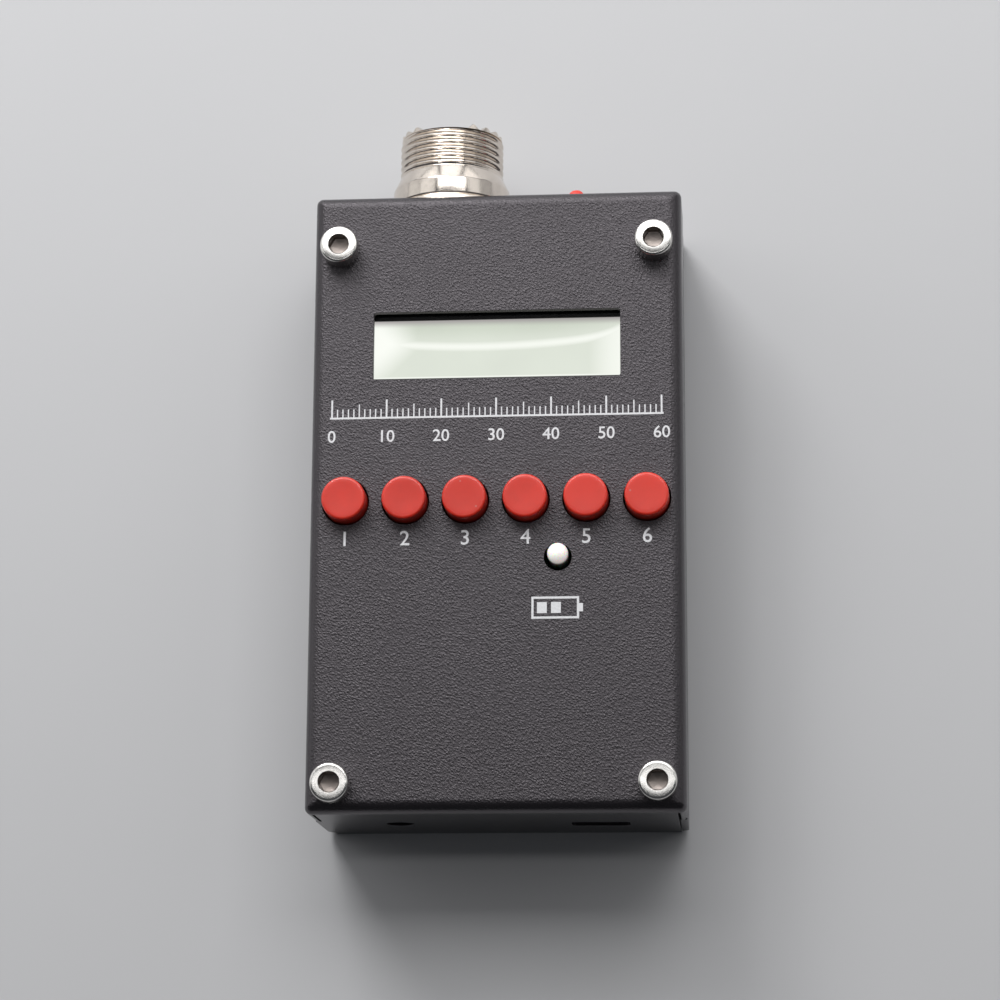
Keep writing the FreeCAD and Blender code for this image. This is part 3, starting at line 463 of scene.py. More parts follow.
def handling_group():
    """Soft smudges for roughness, and sparse dust specks.

    A speck is where the nearest random point is less than 0.09 of the spacing away, at about a quarter
    of the points.
    """
    tree, given, out = new_group(
        "handling",
        [("Vector", "Vector", None), ("Speck spacing", "Float", 0.002)],
        [("Smudge", "Float"), ("Specks", "Float")],
    )
    smudge = noise(tree, given["Vector"], 95.0, 5.0, Roughness=0.62)
    scaled = divided(tree, given["Vector"], given["Speck spacing"])
    nearest = node(tree, "TexVoronoi", {"Vector": scaled, "Scale": 1.0}).outputs
    small = ramp(tree, nearest["Distance"], 0.05, 0.09, 1.0, 0.0)
    chosen = maths(tree, "GREATER_THAN", node(tree, "SeparateXYZ", {0: nearest["Color"]}).outputs[0], 0.72)
    tree.links.new(ramp(tree, smudge, 0.3, 0.7), out["Smudge"])
    tree.links.new(times(tree, small, chosen), out["Specks"])
    return tree


GROUPS = {"wrinkled grain": grain_group, "lathe rings": turning_group, "handling": handling_group}


def effect(tree, name, inputs):
    """Places one of the shared groups, which is built the first time that it is asked for."""
    group = bpy.data.node_groups.get(name) or GROUPS[name]()
    return node(tree, "Group", inputs, node_tree=group).outputs


def new_material(name, rgb, roughness, metallic=0.0, **extra):
    """Material with its own Principled shader, and its node tree, shader and object coordinates."""
    material = bpy.data.materials.new(name)
    material.use_nodes = True
    tree = material.node_tree
    shader = tree.nodes["Principled BSDF"]
    shader.inputs["Base Color"].default_value = opaque(rgb)
    shader.inputs["Roughness"].default_value = roughness
    shader.inputs["Metallic"].default_value = metallic
    for label, setting in extra.items():
        shader.inputs[label.replace("_", " ")].default_value = setting
    return material, tree, shader, node(tree, "TexCoord").outputs["Object"]


def feed(shader, label, source):
    """Links an output to one of a shader's inputs."""
    shader.id_data.links.new(source, shader.inputs[label])


def add_bump(tree, shader, height, depth, strength=1.0):
    bump = node(tree, "Bump", {"Strength": strength, "Distance": depth, "Height": height})
    feed(shader, "Normal", bump.outputs["Normal"])


def wear(tree, shader, hand, roughness, span=0.1):
    """Roughness that the smudges move over a span about its own value."""
    feed(shader, "Roughness", plus(tree, times(tree, hand["Smudge"], span), roughness - span / 2))


# ---- finishes -----------------------------------------------------------------------------------


def powder_coat(settings):
    """Black powder coat: wrinkled on the open faces, drawn smooth where it flows over a fold or an edge."""
    material, tree, shader, where = new_material(
        "black powder coat", settings.coat_colour, 0.5,
        Specular_IOR_Level=0.56, Specular_Tint=(1.0, 0.93, 0.99, 1.0), IOR=1.7,
    )
    grain = effect(tree, "wrinkled grain", {"Vector": where, "Size": settings.grain})
    hand = effect(tree, "handling", {"Vector": where, "Speck spacing": 2.6 * MM})
    axes = node(tree, "SeparateXYZ", {0: where}).outputs
    from_side = maths(tree, "SUBTRACT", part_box("front_shell")[1].x, maths(tree, "ABSOLUTE", axes[0]))
    from_end = maths(tree, "SUBTRACT", WALL_Y, maths(tree, "ABSOLUTE", axes[1]))
    nearest_wall = maths(tree, "MINIMUM", from_side, from_end)
    open_face = ramp(tree, nearest_wall, 0.5 * MM, 2.0 * MM, 0.2, 1.0)
    add_bump(tree, shader, times(tree, grain["Height"], open_face), settings.grain_depth)
    body = shades(tree, grain["Height"], settings.coat_colour, 0.8, 1.25)
    specks = times(tree, hand["Specks"], 0.35)
    feed(shader, "Base Color", blend_colours(tree, specks, body, (0.2, 0.19, 0.18, 1)))
    rough = node(tree, "MapRange", {"Value": grain["Height"], "To Min": 0.5, "To Max": 0.36}).outputs[0]
    smudged = plus(tree, times(tree, hand["Smudge"], 0.05), rough)
    smooth = ramp(tree, nearest_wall, 0.5 * MM, 1.9 * MM, 0.5, 1.0)
    feed(shader, "Roughness", times(tree, smudged, smooth))
    return material


def turned_metal(name, rgb, roughness, centre):
    """Plated or polished metal from a lathe, with rings about an axis along Y through a centre."""
    material, tree, shader, where = new_material(name, rgb, roughness, 1.0)
    on_axis = {"Vector": where, "Location": centre, "Rotation": (math.pi / 2, 0, 0)}
    centred = node(tree, "Mapping", on_axis, vector_type="TEXTURE").outputs[0]
    lathe = effect(tree, "lathe rings", {"Vector": centred, "Spacing": 0.07 * MM})
    hand = effect(tree, "handling", {"Vector": where, "Speck spacing": 1.4 * MM})
    stain = times(tree, lathe["Stain"], 0.5)
    feed(shader, "Base Color", shades(tree, stain, rgb, 1.0, 0.72))
    wear(tree, shader, hand, roughness)
    add_bump(tree, shader, lathe["Height"], 0.004 * MM)
    return material


def moulded_plastic(name, rgb, roughness=0.42, texture=0.12 * MM, depth=0.008 * MM, **extra):
    """Moulded plastic: faint mould texture, a slightly uneven colour, smudges."""
    material, tree, shader, where = new_material(name, rgb, roughness, **extra)
    grain = effect(tree, "wrinkled grain", {"Vector": where, "Size": texture, "Stretch": 1.0})
    hand = effect(tree, "handling", {"Vector": where, "Speck spacing": 2.2 * MM})
    uneven = shades(tree, hand["Smudge"], rgb, 0.9, 1.08)
    specks = times(tree, hand["Specks"], 0.3)
    feed(shader, "Base Color", blend_colours(tree, specks, uneven, (0.5, 0.48, 0.46, 1)))
    wear(tree, shader, hand, roughness)
    add_bump(tree, shader, grain["Height"], depth)
    return material


def sheet_metal(name, rgb, roughness=0.32, grain_size=0.25 * MM):
    """Rolled or drawn metal: long fine scratches along Y and slow stains."""
    material, tree, shader, where = new_material(name, rgb, roughness, 1.0)
    drawn = node(tree, "Mapping", {"Vector": where, "Scale": (1.0, 0.06, 1.0)}).outputs[0]
    grain = effect(tree, "wrinkled grain", {"Vector": drawn, "Size": grain_size, "Stretch": 1.0})
    hand = effect(tree, "handling", {"Vector": where, "Speck spacing": 2.0 * MM})
    feed(shader, "Base Color", shades(tree, hand["Smudge"], rgb, 0.85, 1.05))
    wear(tree, shader, hand, roughness, 0.12)
    add_bump(tree, shader, grain["Height"], 0.004 * MM)
    return material


def circuit_board():
    """Green solder mask over copper tracks: a brick pattern stands for the tracks, a little lighter."""
    material, tree, shader, where = new_material("green solder mask", (0.01, 0.09, 0.035), 0.3)
    pattern = {"Vector": where, "Scale": 400.0, "Mortar Size": 0.08, "Brick Width": 2.4, "Row Height": 0.5}
    tracks = node(tree, "TexBrick", pattern).outputs["Fac"]
    hand = effect(tree, "handling", {"Vector": where})
    copper = blend_colours(tree, tracks, (0.012, 0.105, 0.04, 1), (0.02, 0.17, 0.06, 1))
    specks = times(tree, hand["Specks"], 0.5)
    feed(shader, "Base Color", blend_colours(tree, specks, copper, (0.6, 0.6, 0.55, 1)))
    add_bump(tree, shader, tracks, 0.02 * MM)
    return material


def display_glow(settings):
    """Backlit glass with a painted reflection: a pale glowing ground, brightest at both ends and along a
    slow wave that climbs to the right; the wave is a painted reflection of a panel.

    With u and v from -1 to 1 across and up the glass, the wave's middle line is
    v = 0.28 + 0.06 u + 0.22 u^2 + 0.3 u^8, the last term only where u is above 0. Under the line the
    glass carries an even painted sheen, and above it the glow falls off over half a unit. The upper edge
    turns to a greyish pink, a painted shadow of the window's upper edge, and the strip along the lower edge
    is bright above and black below.
    """
    low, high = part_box("lcd_glass")
    centre, half = (low + high) / 2, (high - low) / 2
    material, tree, shader, where = new_material("display glass", (0.03, 0.032, 0.03), 0.16)
    window = {"Vector": where, "Location": centre, "Scale": (half.x, half.y, 1.0)}
    unit = node(tree, "Mapping", window, vector_type="TEXTURE").outputs[0]
    u, v, _ = node(tree, "SeparateXYZ", {0: unit}).outputs
    bow = times(tree, u, plus(tree, times(tree, u, 0.22), 0.06))
    climb = times(tree, maths(tree, "POWER", maths(tree, "MAXIMUM", u, 0.0), 8.0), 0.3)
    line = plus(tree, plus(tree, bow, climb), 0.28)
    under = maths(tree, "SUBTRACT", line, v)
    off_wave = maths(tree, "ABSOLUTE", under)
    # The wave and the even sheen under it are painted reflection of a panel; the bright left end stands for
    # the backlight.
    lights = (
        ramp(tree, off_wave, 0.0, 0.2, 0.85, 0.0),
        ramp(tree, under, -0.55, -0.02, 0.0, 0.3),
        ramp(tree, plus(tree, u, times(tree, off_wave, 0.3)), -0.85, -0.42, 1.0, 0.0),
        times(tree, ramp(tree, u, 0.5, 0.95, 0.0, 0.85), ramp(tree, under, -0.15, 0.05)),
        ramp(tree, v, -0.45, -0.4, 0.9, 0.0),
    )
    backlight_and_painted_reflection = 0.0
    for light in lights:
        backlight_and_painted_reflection = maths(tree, "MAXIMUM", light, backlight_and_painted_reflection)
    # Painted shadow: the glass turns greyish pink under the window's upper edge.
    painted_top_shadow = ramp(tree, v, 0.74, 0.94, 0.0, 0.9)
    cloud = noise(tree, where, 130.0, 2.0)
    ground = shades(tree, cloud, settings.glow_colour, 0.93, 1.06)
    # Pale colour where the backlight and the painted reflection are strongest.
    glow = blend_colours(tree, backlight_and_painted_reflection, ground, (0.95, 0.97, 0.91, 1.0))
    edge = blend_colours(tree, painted_top_shadow, glow, (0.36, 0.33, 0.335, 1.0))
    mask = ramp(tree, v, -0.475, -0.455)
    feed(shader, "Emission Color", blend_colours(tree, mask, (0.004, 0.004, 0.005, 1.0), edge))
    shader.inputs["Emission Strength"].default_value = settings.glow
    feed(shader, "Roughness", plus(tree, times(tree, cloud, 0.05), 0.08))
    return material


def lamp_lens(settings):
    """Milky epoxy with a clear skin: the body scatters light, and the tip carries a faint painted glow,
    though the lamp is off.
    """
    material, tree, shader, where = new_material(
        "milky lamp lens", settings.lens_colour, 0.3, Subsurface_Weight=0.8, Subsurface_Scale=0.9 * MM,
        Coat_Weight=0.5, Coat_Roughness=0.12, Emission_Strength=0.42,
    )
    cloud = noise(tree, where, 900.0, 3.0)
    milky = shades(tree, cloud, settings.lens_colour, 0.92, 1.1)
    feed(shader, "Base Color", milky)
    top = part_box("charge_led")[1].z
    height = node(tree, "SeparateXYZ", {0: where}).outputs[2]
    # Painted glow: the unlit lens gets a weak emission towards its tip that stands in for light.
    tip = ramp(tree, height, top - 2.2 * MM, top - 0.7 * MM)
    feed(shader, "Emission Color", blend_colours(tree, tip, (0.0, 0.0, 0.0, 1.0), milky))
    add_bump(tree, shader, cloud, 0.006 * MM)
    return material


def print_ink(settings):
    """Screen print: matt ink that thins a little where the coat's wrinkles stand high."""
    material, tree, shader, where = new_material("white print", settings.ink_colour, 0.55)
    grain = effect(tree, "wrinkled grain", {"Vector": where, "Size": 0.34 * MM})
    thin = times(tree, grain["Height"], 0.22)
    feed(shader, "Base Color", shades(tree, thin, settings.ink_colour, 1.0, 0.45))
    add_bump(tree, shader, grain["Height"], 0.02 * MM)
    return material


def foil(name, rgb):
    """Crumpled aluminium laminate of the battery pouch."""
    material, tree, shader, where = new_material(name, rgb, 0.34, 1.0)
    cells = node(tree, "TexVoronoi", {"Vector": where, "Scale": 160.0}, feature="DISTANCE_TO_EDGE")
    hand = effect(tree, "handling", {"Vector": where})
    feed(shader, "Base Color", shades(tree, hand["Smudge"], rgb, 0.8, 1.0))
    add_bump(tree, shader, cells.outputs[0], 0.12 * MM, 0.5)
    return material


def floor_paint(settings):
    """Pale matt floor with a faint uneven tone."""
    material, tree, shader, where = new_material("pale floor", settings.floor_colour, 0.85)
    tone = noise(tree, where, 9.0, 6.0, Roughness=0.6)
    feed(shader, "Base Color", shades(tree, tone, settings.floor_colour, 0.97, 1.03))
    return material


# ---- operators ----------------------------------------------------------------------------------


class Step:
    """What all the operators share: each can be redone with other settings, and undone."""

    bl_options = {"REGISTER", "UNDO"}


class ANALYZER_OT_stage(Step, bpy.types.Operator):
    """Camera, pale floor, and soft panels overhead, behind and at the sides"""

    bl_idname = "analyzer.set_stage"
    bl_label = "Stage"

    def execute(self, context):
        settings = context.scene.analyzer_stage
        self.add_camera(context, settings)
        self.add_floor(context, settings)
        panels = [
            # name, middle, the way it faces, width, length, share of the panel light
            ("left panel", (-0.655, 0.39, 0.6), (0, 0, -1), 0.69, 0.72, 0.38),
            ("middle panel", (0.0625, 0.495, 0.62), (0, 0, -1), 0.615, 0.52, 1.6),
            ("middle panel's near strip", (0.0625, 0.045, 0.62), (0, 0, -1), 0.615, 0.04, 1.15),
            ("right panel", (0.775, 0.39, 0.6), (0, 0, -1), 0.67, 0.72, 0.34),
            ("left wall", (-1.0, 0.35, 0.3), (1, 0, 0), 0.9, 0.55, 0.28),
            ("right wall", (1.1, 0.35, 0.3), (-1, 0, 0), 0.9, 0.55, 0.16),
            ("key light", (-0.27, 0.58, 0.47), (0.27, -0.58, -0.45), 0.3, 0.3, 3.6),
            ("left back light", (-0.655, 1.0, 0.3), (0, -1, 0), 0.71, 0.5, 0.5),
            ("middle back light", (-0.01, 1.0, 0.3), (0, -1, 0), 0.44, 0.5, 0.6),
            ("right back light", (0.635, 1.0, 0.3), (0, -1, 0), 0.71, 0.5, 0.5),
        ]
        for name, spot, facing, width, depth, part in panels:
            self.add_panel(context, name, spot, facing, width, depth, settings.panel_light * part)
        world = context.scene.world or bpy.data.worlds.new("studio air")
        context.scene.world = world
        world.use_nodes = True
        air = world.node_tree.nodes["Background"]
        air.inputs["Color"].default_value = (0.82, 0.86, 0.92, 1.0)
        air.inputs["Strength"].default_value = 0.07
        context.scene.view_settings.view_transform = "Standard"
        return {"FINISHED"}

    def add_camera(self, context, settings):
        lens = bpy.data.cameras.new("camera")
        lens.sensor_width = 36.0
        lens.lens = settings.focal_length
        lens.clip_start = 0.01
        lens.clip_end = 20.0
        camera = bpy.data.objects.new("camera", lens)
        camera.location = settings.camera_place
        camera.rotation_euler = Euler(settings.camera_turn, "XYZ")
        context.scene.collection.objects.link(camera)
        context.scene.camera = camera

    def add_floor(self, context, settings):
        """Thin round slab: a disc turned from the profile of its rim, just under the case."""
        profile = rounded([(0, -0.00003, 0), (2.6, -0.00003, 0.002), (2.6, -0.02, 0), (0, -0.02, 0)])
        mesh = closed_mesh("floor", [turned_part(turned(profile, 128))])
        mesh.materials.append(floor_paint(settings))
        floor = bpy.data.objects.new("floor", mesh)
        context.scene.collection.objects.link(floor)

    def add_panel(self, context, name, spot, facing, width, depth, radiance):
        """A panel with the same radiance all over: its power is radiance times pi times its area."""
        lamp = bpy.data.lights.new(name, "AREA")
        lamp.shape = "RECTANGLE"
        lamp.size = width
        lamp.size_y = depth
        lamp.energy = radiance * math.pi * width * depth
        holder = bpy.data.objects.new(name, lamp)
        holder.location = spot
        holder.rotation_euler = Vector(facing).to_track_quat("-Z", "Y").to_euler()
        context.scene.collection.objects.link(holder)


class ANALYZER_OT_case(Step, bpy.types.Operator):
    """Front and rear shell in wrinkled black powder coat with softly rounded cut edges"""

    bl_idname = "analyzer.coat_case"
    bl_label = "Coated case"

    def execute(self, context):
        settings = context.scene.analyzer_case
        coat = powder_coat(settings)
        for shell in ("front_shell", "rear_shell"):
            dressed(shell, coat, settings.edge_radius, slot="black_sheet", segments=3)
        return {"FINISHED"}


class ANALYZER_OT_screws(Step, bpy.types.Operator):
    """Four polished cap screws with a hexagon socket and a drill cone"""

    bl_idname = "analyzer.add_screws"
    bl_label = "Cover screws"

    def execute(self, context):
        settings = context.scene.analyzer_screws
        low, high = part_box("cover_screws")
        places = [
            (x, y)
            for x in (low.x + HEAD_RADIUS, high.x - HEAD_RADIUS)
            for y in (low.y + HEAD_RADIUS, high.y - HEAD_RADIUS)
        ]
        one = self.screw(settings, high.z, low.z)
        parts = [turned_part(one + np.array([x, y, 0.0])) for x, y in places]
        steel = sheet_metal("polished screw steel", settings.steel_colour, 0.2, 0.12 * MM)
        # Socket steel: rougher as a broached surface, and darker in colour as painted shade in the hexagon
        # recess.
        shaded_broached = sheet_metal("broached steel", (0.28, 0.245, 0.225), 0.42, 0.9 * MM)
        piece = add_piece("cap_screws", parts, steel, slot="screw_steel", replaces=["cover_screws"])
        piece.data.materials.append(shaded_broached)
        centres = np.empty(len(piece.data.polygons) * 3)
        piece.data.polygons.foreach_get("center", centres)
        centres = centres.reshape(-1, 3)
        from_axis = np.min([np.hypot(centres[:, 0] - x, centres[:, 1] - y) for x, y in places], axis=0)
        in_socket = (from_axis < KEYWAY_RADIUS - 0.005 * MM) & (centres[:, 2] > high.z - 2.2 * MM)
        piece.data.polygons.foreach_set("material_index", in_socket.astype(np.int32))
        return {"FINISHED"}

    def screw(self, settings, top, tip):
        """Turned grid in which the rows inside the socket take a hexagon's radius.

        A hexagon with flats a apart has, at angle t, the radius (a/2) / cos(t mod 60 - 30 degrees). A row's
        radius is its round radius times (1 - w) plus the hexagon's times w, with w that row's share.
        """
        half_flat, depth = 1.25 * MM, 1.6 * MM
        under = top - HEAD_HEIGHT
        outline = rounded(
            [
                (0, tip, 0), (1.2 * MM, tip, 0), (SHANK_RADIUS, tip + 0.25 * MM, 0),
                (SHANK_RADIUS, under, 0), (2.62 * MM, under, 0), (HEAD_RADIUS, under + 0.13 * MM, 0),
                (HEAD_RADIUS, top, settings.crown_radius), (1.56 * MM, top, 0),
                (KEYWAY_RADIUS, top - 0.05 * MM, 0), (1.47 * MM, top - 0.45 * MM, 0),
            ],
            6,
        )
        inside = np.array([
            [half_flat, top - 0.6 * MM], [half_flat, top - depth],
            [half_flat * 0.86, top - depth - 0.04 * MM], [0, top - depth - settings.cone_depth],
        ])
        share_of_hexagon = np.concatenate([np.zeros(len(outline)), [1.0, 1.0, 0.3, 0.0]])[:, None]
        rows = np.concatenate([outline, inside])
        turn = np.linspace(0, FULL_TURN, 96, endpoint=False)
        hexagon = 1 / np.cos((turn % (FULL_TURN / 6)) - FULL_TURN / 12)
        radius = rows[:, :1] * (1 - share_of_hexagon + share_of_hexagon * hexagon)
        height = np.broadcast_to(rows[:, 1:], radius.shape)
        return np.stack([radius * np.cos(turn), radius * np.sin(turn), height], axis=-1)


class ANALYZER_OT_keys(Step, bpy.types.Operator):
    """Six red caps with rounded rims, and the stems and switches under them"""

    bl_idname = "analyzer.add_keys"
    bl_label = "Keys"

    def execute(self, context):
        settings = context.scene.analyzer_keys
        red = moulded_plastic(
            "red cap plastic", settings.cap_colour, 0.36,
            Coat_Weight=0.35, Coat_Roughness=0.18, Subsurface_Weight=0.5, Subsurface_Scale=1.4 * MM,
        )
        stem = moulded_plastic("stem plastic", (0.7, 0.68, 0.62), 0.4)
        switch = moulded_plastic("black switch plastic", (0.02, 0.02, 0.021), 0.45)
        for number in KEYS:
            low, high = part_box(f"button_cap_{number}")
            centre = (low + high) / 2
            grid = turned(self.profile(settings, low.z, high.z, high.x - centre.x))
            parts = [turned_part(grid + np.array([centre.x, centre.y, 0]))]
            solid = [f"button_cap_{number}"]
            add_piece(f"cap_{number}", parts, red, f"key_{number}", "red_plastic", solid)
            finish_node(f"key_stem_{number}", stem)
            finish_node(f"key_switch_{number}", switch)
        return {"FINISHED"}

    def profile(self, settings, bottom, top, radius):
        """Outline of a cap: a dished top, a rounded rim, a draughted side and a round well for the stem."""
        out = np.linspace(0, radius - 2 * settings.rim_radius, 6)
        dish = top - settings.dish * (1 - (out / out[-1]) ** 2)
        side = rounded(
            [
                (radius - 1.9 * settings.rim_radius, top, 0),
                (radius - 0.03 * MM, top, settings.rim_radius), (radius, bottom, 0.12 * MM),
                (1.85 * MM, bottom, 0.1 * MM), (1.75 * MM, top - 1.6 * MM, 0), (0, top - 1.6 * MM, 0),
            ],
            7,
        )
        return np.concatenate([np.stack([out, dish], axis=-1), side])


class ANALYZER_OT_power_button(Step, bpy.types.Operator):
    """Red power button with a rounded tip, its plunger and its switch"""

    bl_idname = "analyzer.add_power_button"
    bl_label = "Power button"

    def execute(self, context):
        settings = context.scene.analyzer_keys
        name = "red cap plastic"
        red = bpy.data.materials.get(name) or moulded_plastic(name, settings.cap_colour)
        low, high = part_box("power_button")
        back, tip = low.y, high.y
        profile = rounded(
            [
                (0, tip, 0), (0.92 * MM, tip, 0.8 * MM), (POWER_RADIUS, WALL_Y + 0.5 * MM, 0.2 * MM),
                (POWER_RADIUS, back + 0.8 * MM, 0), (COLLAR_RADIUS, back + 0.8 * MM, 0.12 * MM),
                (COLLAR_RADIUS, back, 0.12 * MM), (1.15 * MM, back, 0), (1.15 * MM, back + 1.6 * MM, 0),
                (0, back + 1.6 * MM, 0),
            ],
            6,
        )
        grid = onto_y_axis(turned(profile, 64), (POWER_CENTRE.x, 0.0, POWER_CENTRE.z))
        parts = [turned_part(grid)]
        add_piece("power_tip", parts, red, "power_key", "red_plastic", ["power_button"])
        finish_node("power_plunger", moulded_plastic("plunger plastic", (0.6, 0.6, 0.58), 0.4))
        finish_node("power_switch", moulded_plastic("power switch plastic", (0.025, 0.025, 0.027), 0.45))
        return {"FINISHED"}


class ANALYZER_OT_lamp(Step, bpy.types.Operator):
    """Round milky charge lamp with a domed end and two legs"""

    bl_idname = "analyzer.add_lamp"
    bl_label = "Charge lamp"

    def execute(self, context):
        low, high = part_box("charge_led")
        centre = (low + high) / 2
        radius = high.x - centre.x
        lift = np.linspace(0, FULL_TURN / 4, 14)
        # quarter circle from the tip down to the side, a little flattened at the tip
        dome = np.stack([radius * np.sin(lift), high.z - radius * 0.92 * (1 - np.cos(lift))], axis=-1)
        base = high.z - LAMP_HEIGHT
        body = np.concatenate([dome, [[radius, base], [0, base]]])
        legs = np.array([[side * LEG_SPREAD + centre.x, centre.y] for side in (-1, 1)])
        wide = 0.225 * MM
        lows = np.column_stack([legs - wide, [low.z, low.z]])
        highs = np.column_stack([legs + wide, [base, base]])
        grid = turned(body, 72) + np.array([centre.x, centre.y, 0.0])
        lens = lamp_lens(context.scene.analyzer_lamp)
        parts = [turned_part(grid), bars(lows, highs)]
        add_piece("charge_lamp", parts, lens, slot="lamp_plastic", replaces=["charge_led"])
        return {"FINISHED"}


class ANALYZER_OT_display(Step, bpy.types.Operator):
    """Backlit display in its frame, with its boards and headers"""

    bl_idname = "analyzer.finish_display"
    bl_label = "Display"

    def execute(self, context):
        finish_node("lcd_glass", display_glow(context.scene.analyzer_display))
        finish_node("lcd_backlight", moulded_plastic("white diffuser", (0.8, 0.8, 0.78), 0.5))
        black = moulded_plastic("black display frame", (0.012, 0.012, 0.013), 0.4, 0.2 * MM)
        dressed("lcd_bezel", black, 0.1 * MM, slot="black_metal")
        board = circuit_board()
        for name in ("lcd_board", "display_board", "main_board"):
            finish_node(name, board)
        header = moulded_plastic("header plastic", (0.018, 0.018, 0.02), 0.5)
        for name in ("lcd_header", "board_header"):
            finish_node(name, header)
        return {"FINISHED"}


class ANALYZER_OT_antenna_socket(Step, bpy.types.Operator):
    """Threaded nickel antenna socket with a toothed rim, its ring, nut, insulator and slotted contact"""

    bl_idname = "analyzer.add_antenna_socket"
    bl_label = "Antenna socket"

    def execute(self, context):
        settings = context.scene.analyzer_socket
        axis = (SOCKET_CENTRE.x, WALL_Y, SOCKET_CENTRE.z)
        nickel = turned_metal("socket nickel", settings.nickel_colour, 0.17, axis)
        parts = [turned_part(onto_y_axis(self.socket_body(settings), axis), ring=True)]
        add_piece("socket_body", parts, nickel, slot="nickel", replaces=["antenna_socket"], crease=38)
        ring = rounded(in_metres([(5.9, 0, 0), (8.9, 0, 0), (8.9, 1.3, 0.22), (5.9, 1.3, 0.1)]))
        bright = turned_metal("spacer ring nickel", opaque(settings.nickel_colour, 1.3)[:3], 0.3, axis)
        parts = [turned_part(onto_y_axis(turned(ring, 128), axis), ring=True)]
        add_piece("spacer_ring", parts, bright, slot="nickel", replaces=["socket_spacer_ring"])
        insulator = moulded_plastic("insulator plastic", (0.62, 0.58, 0.5), 0.4, 0.3 * MM)
        dressed("socket_insulator", insulator, 0.12 * MM, slot="insulator_plastic")
        brass = turned_metal("contact plating", (0.82, 0.74, 0.58), 0.2, axis)
        dressed("socket_contact", brass, 0.1 * MM, slot="contact_metal")
        finish_node("socket_nut", nickel)
        finish_node("signal_strip", sheet_metal("tinned strip", (0.66, 0.64, 0.6), 0.35))
        return {"FINISHED"}

    def socket_body(self, settings):
        """Grid of the socket: each row has a radius, a height, a share of thread and a share of tooth.

        At height h and angle t the thread's phase is h / pitch - t / 360 degrees, less its whole part, and
        the radius drops by the depth times a smooth step of how far the phase is from the crest. The
        barrel ends in a foot row and three tooth rows: the tooth rows rise by the tooth height times a
        smooth bump at each tooth's angle, the outermost by less, which slants the tips outwards.
        """
        turn = np.linspace(0, FULL_TURN, 288, endpoint=False)
        rim = RIM / MM
        below = rounded(
            in_metres([
                (3.4, -7, 0), (5.9, -7, 0.3), (5.9, 1.3, 0), (8.5, 1.3, 0), (8.8, 1.65, 0.12),
                (8.8, 4.0, 0.15), (CREST_RADIUS / MM, 6.07, 0.1),
            ]),
            4,
        )
        steps = 92
        barrel = np.linspace(THREAD_START, RIM - 0.02 * MM, steps)
        threaded = np.column_stack([np.full(steps, CREST_RADIUS), barrel])
        above = rounded(
            in_metres([
                (7.62, rim, 0), (7.62, rim, 0), (7.42, rim, 0), (6.6, rim, 0), (6.42, rim, 0.08),
                (6.3, rim - 0.3, 0), (6.3, 3.4, 0), (3.4, 3.4, 0),
            ]),
            4,
        )
        rows = np.concatenate([below, threaded, above])
        radius, height = rows[:, :1], rows[:, 1:]
        threads = np.zeros_like(radius)
        first, last = len(below), len(below) + steps
        run = height[first:last]
        threads[first:last] = np.clip((run - THREAD_START) / (0.5 * MM), 0, 1)
        fade_out = np.clip((RIM - run) / (0.35 * MM), 0, 1)
        phase = (height / settings.thread_pitch - turn / FULL_TURN) % 1.0
        valley = np.clip(1.25 - 2.5 * np.abs(phase - 0.5), 0, 1)
        valley = valley * valley * (3 - 2 * valley)
        end_chamfer = np.zeros_like(radius)
        end_chamfer[first:last] = (1 - fade_out) * 0.2 * MM
        wall = radius - threads * settings.thread_depth * valley - end_chamfer
        rise = np.zeros_like(radius)
        rise[last + 1:last + 4, 0] = (0.82, 1.0, 1.0)
        tall = height + rise * settings.tooth_height * self.teeth(settings, turn)
        along = np.broadcast_to(tall, wall.shape)
        return np.stack([wall * np.cos(turn), wall * np.sin(turn), along], axis=-1)

    def teeth(self, settings, turn):
        """0 to 1 round the rim: half of 1 plus the cosine of the distance to a tooth, to the power 1.35.

        The two runs of teeth leave the rim plain on the side of the case's face and opposite to it.
        """
        right = math.radians(90 - 31) - np.arange(7) * settings.tooth_pitch
        left = math.radians(90 + 40) + np.arange(7) * settings.tooth_pitch
        centres = np.concatenate([right, left])[:, None]
        apart = np.abs((turn[None, :] - centres + math.pi) % FULL_TURN - math.pi)
        near = 0.5 + 0.5 * np.cos(math.pi * np.clip(apart / (settings.tooth_pitch * 0.5), 0, 1))
        return near.max(axis=0) ** 1.35


class ANALYZER_OT_power_sockets(Step, bpy.types.Operator):
    """Round power socket and flat USB socket in the end wall"""

    bl_idname = "analyzer.finish_power_sockets"
    bl_label = "Power sockets"

    def execute(self, context):
        black = moulded_plastic("socket plastic", (0.015, 0.015, 0.016), 0.4)
        dressed("dc_jack", black, 0.1 * MM, slot="black_plastic")
        steel = sheet_metal("usb shell steel", (0.62, 0.62, 0.61), 0.3)
        dressed("usb_shell", steel, 0.05 * MM, slot="usb_steel")
        finish_node("usb_tongue", moulded_plastic("usb tongue plastic", (0.05, 0.012, 0.01), 0.4))
        centre = middle("dc_pin")
        pin = turned_metal("pin plating", (0.75, 0.72, 0.66), 0.2, (centre.x, 0, centre.z))
        dressed("dc_pin", pin, 0.15 * MM, slot="contact_metal")
        return {"FINISHED"}


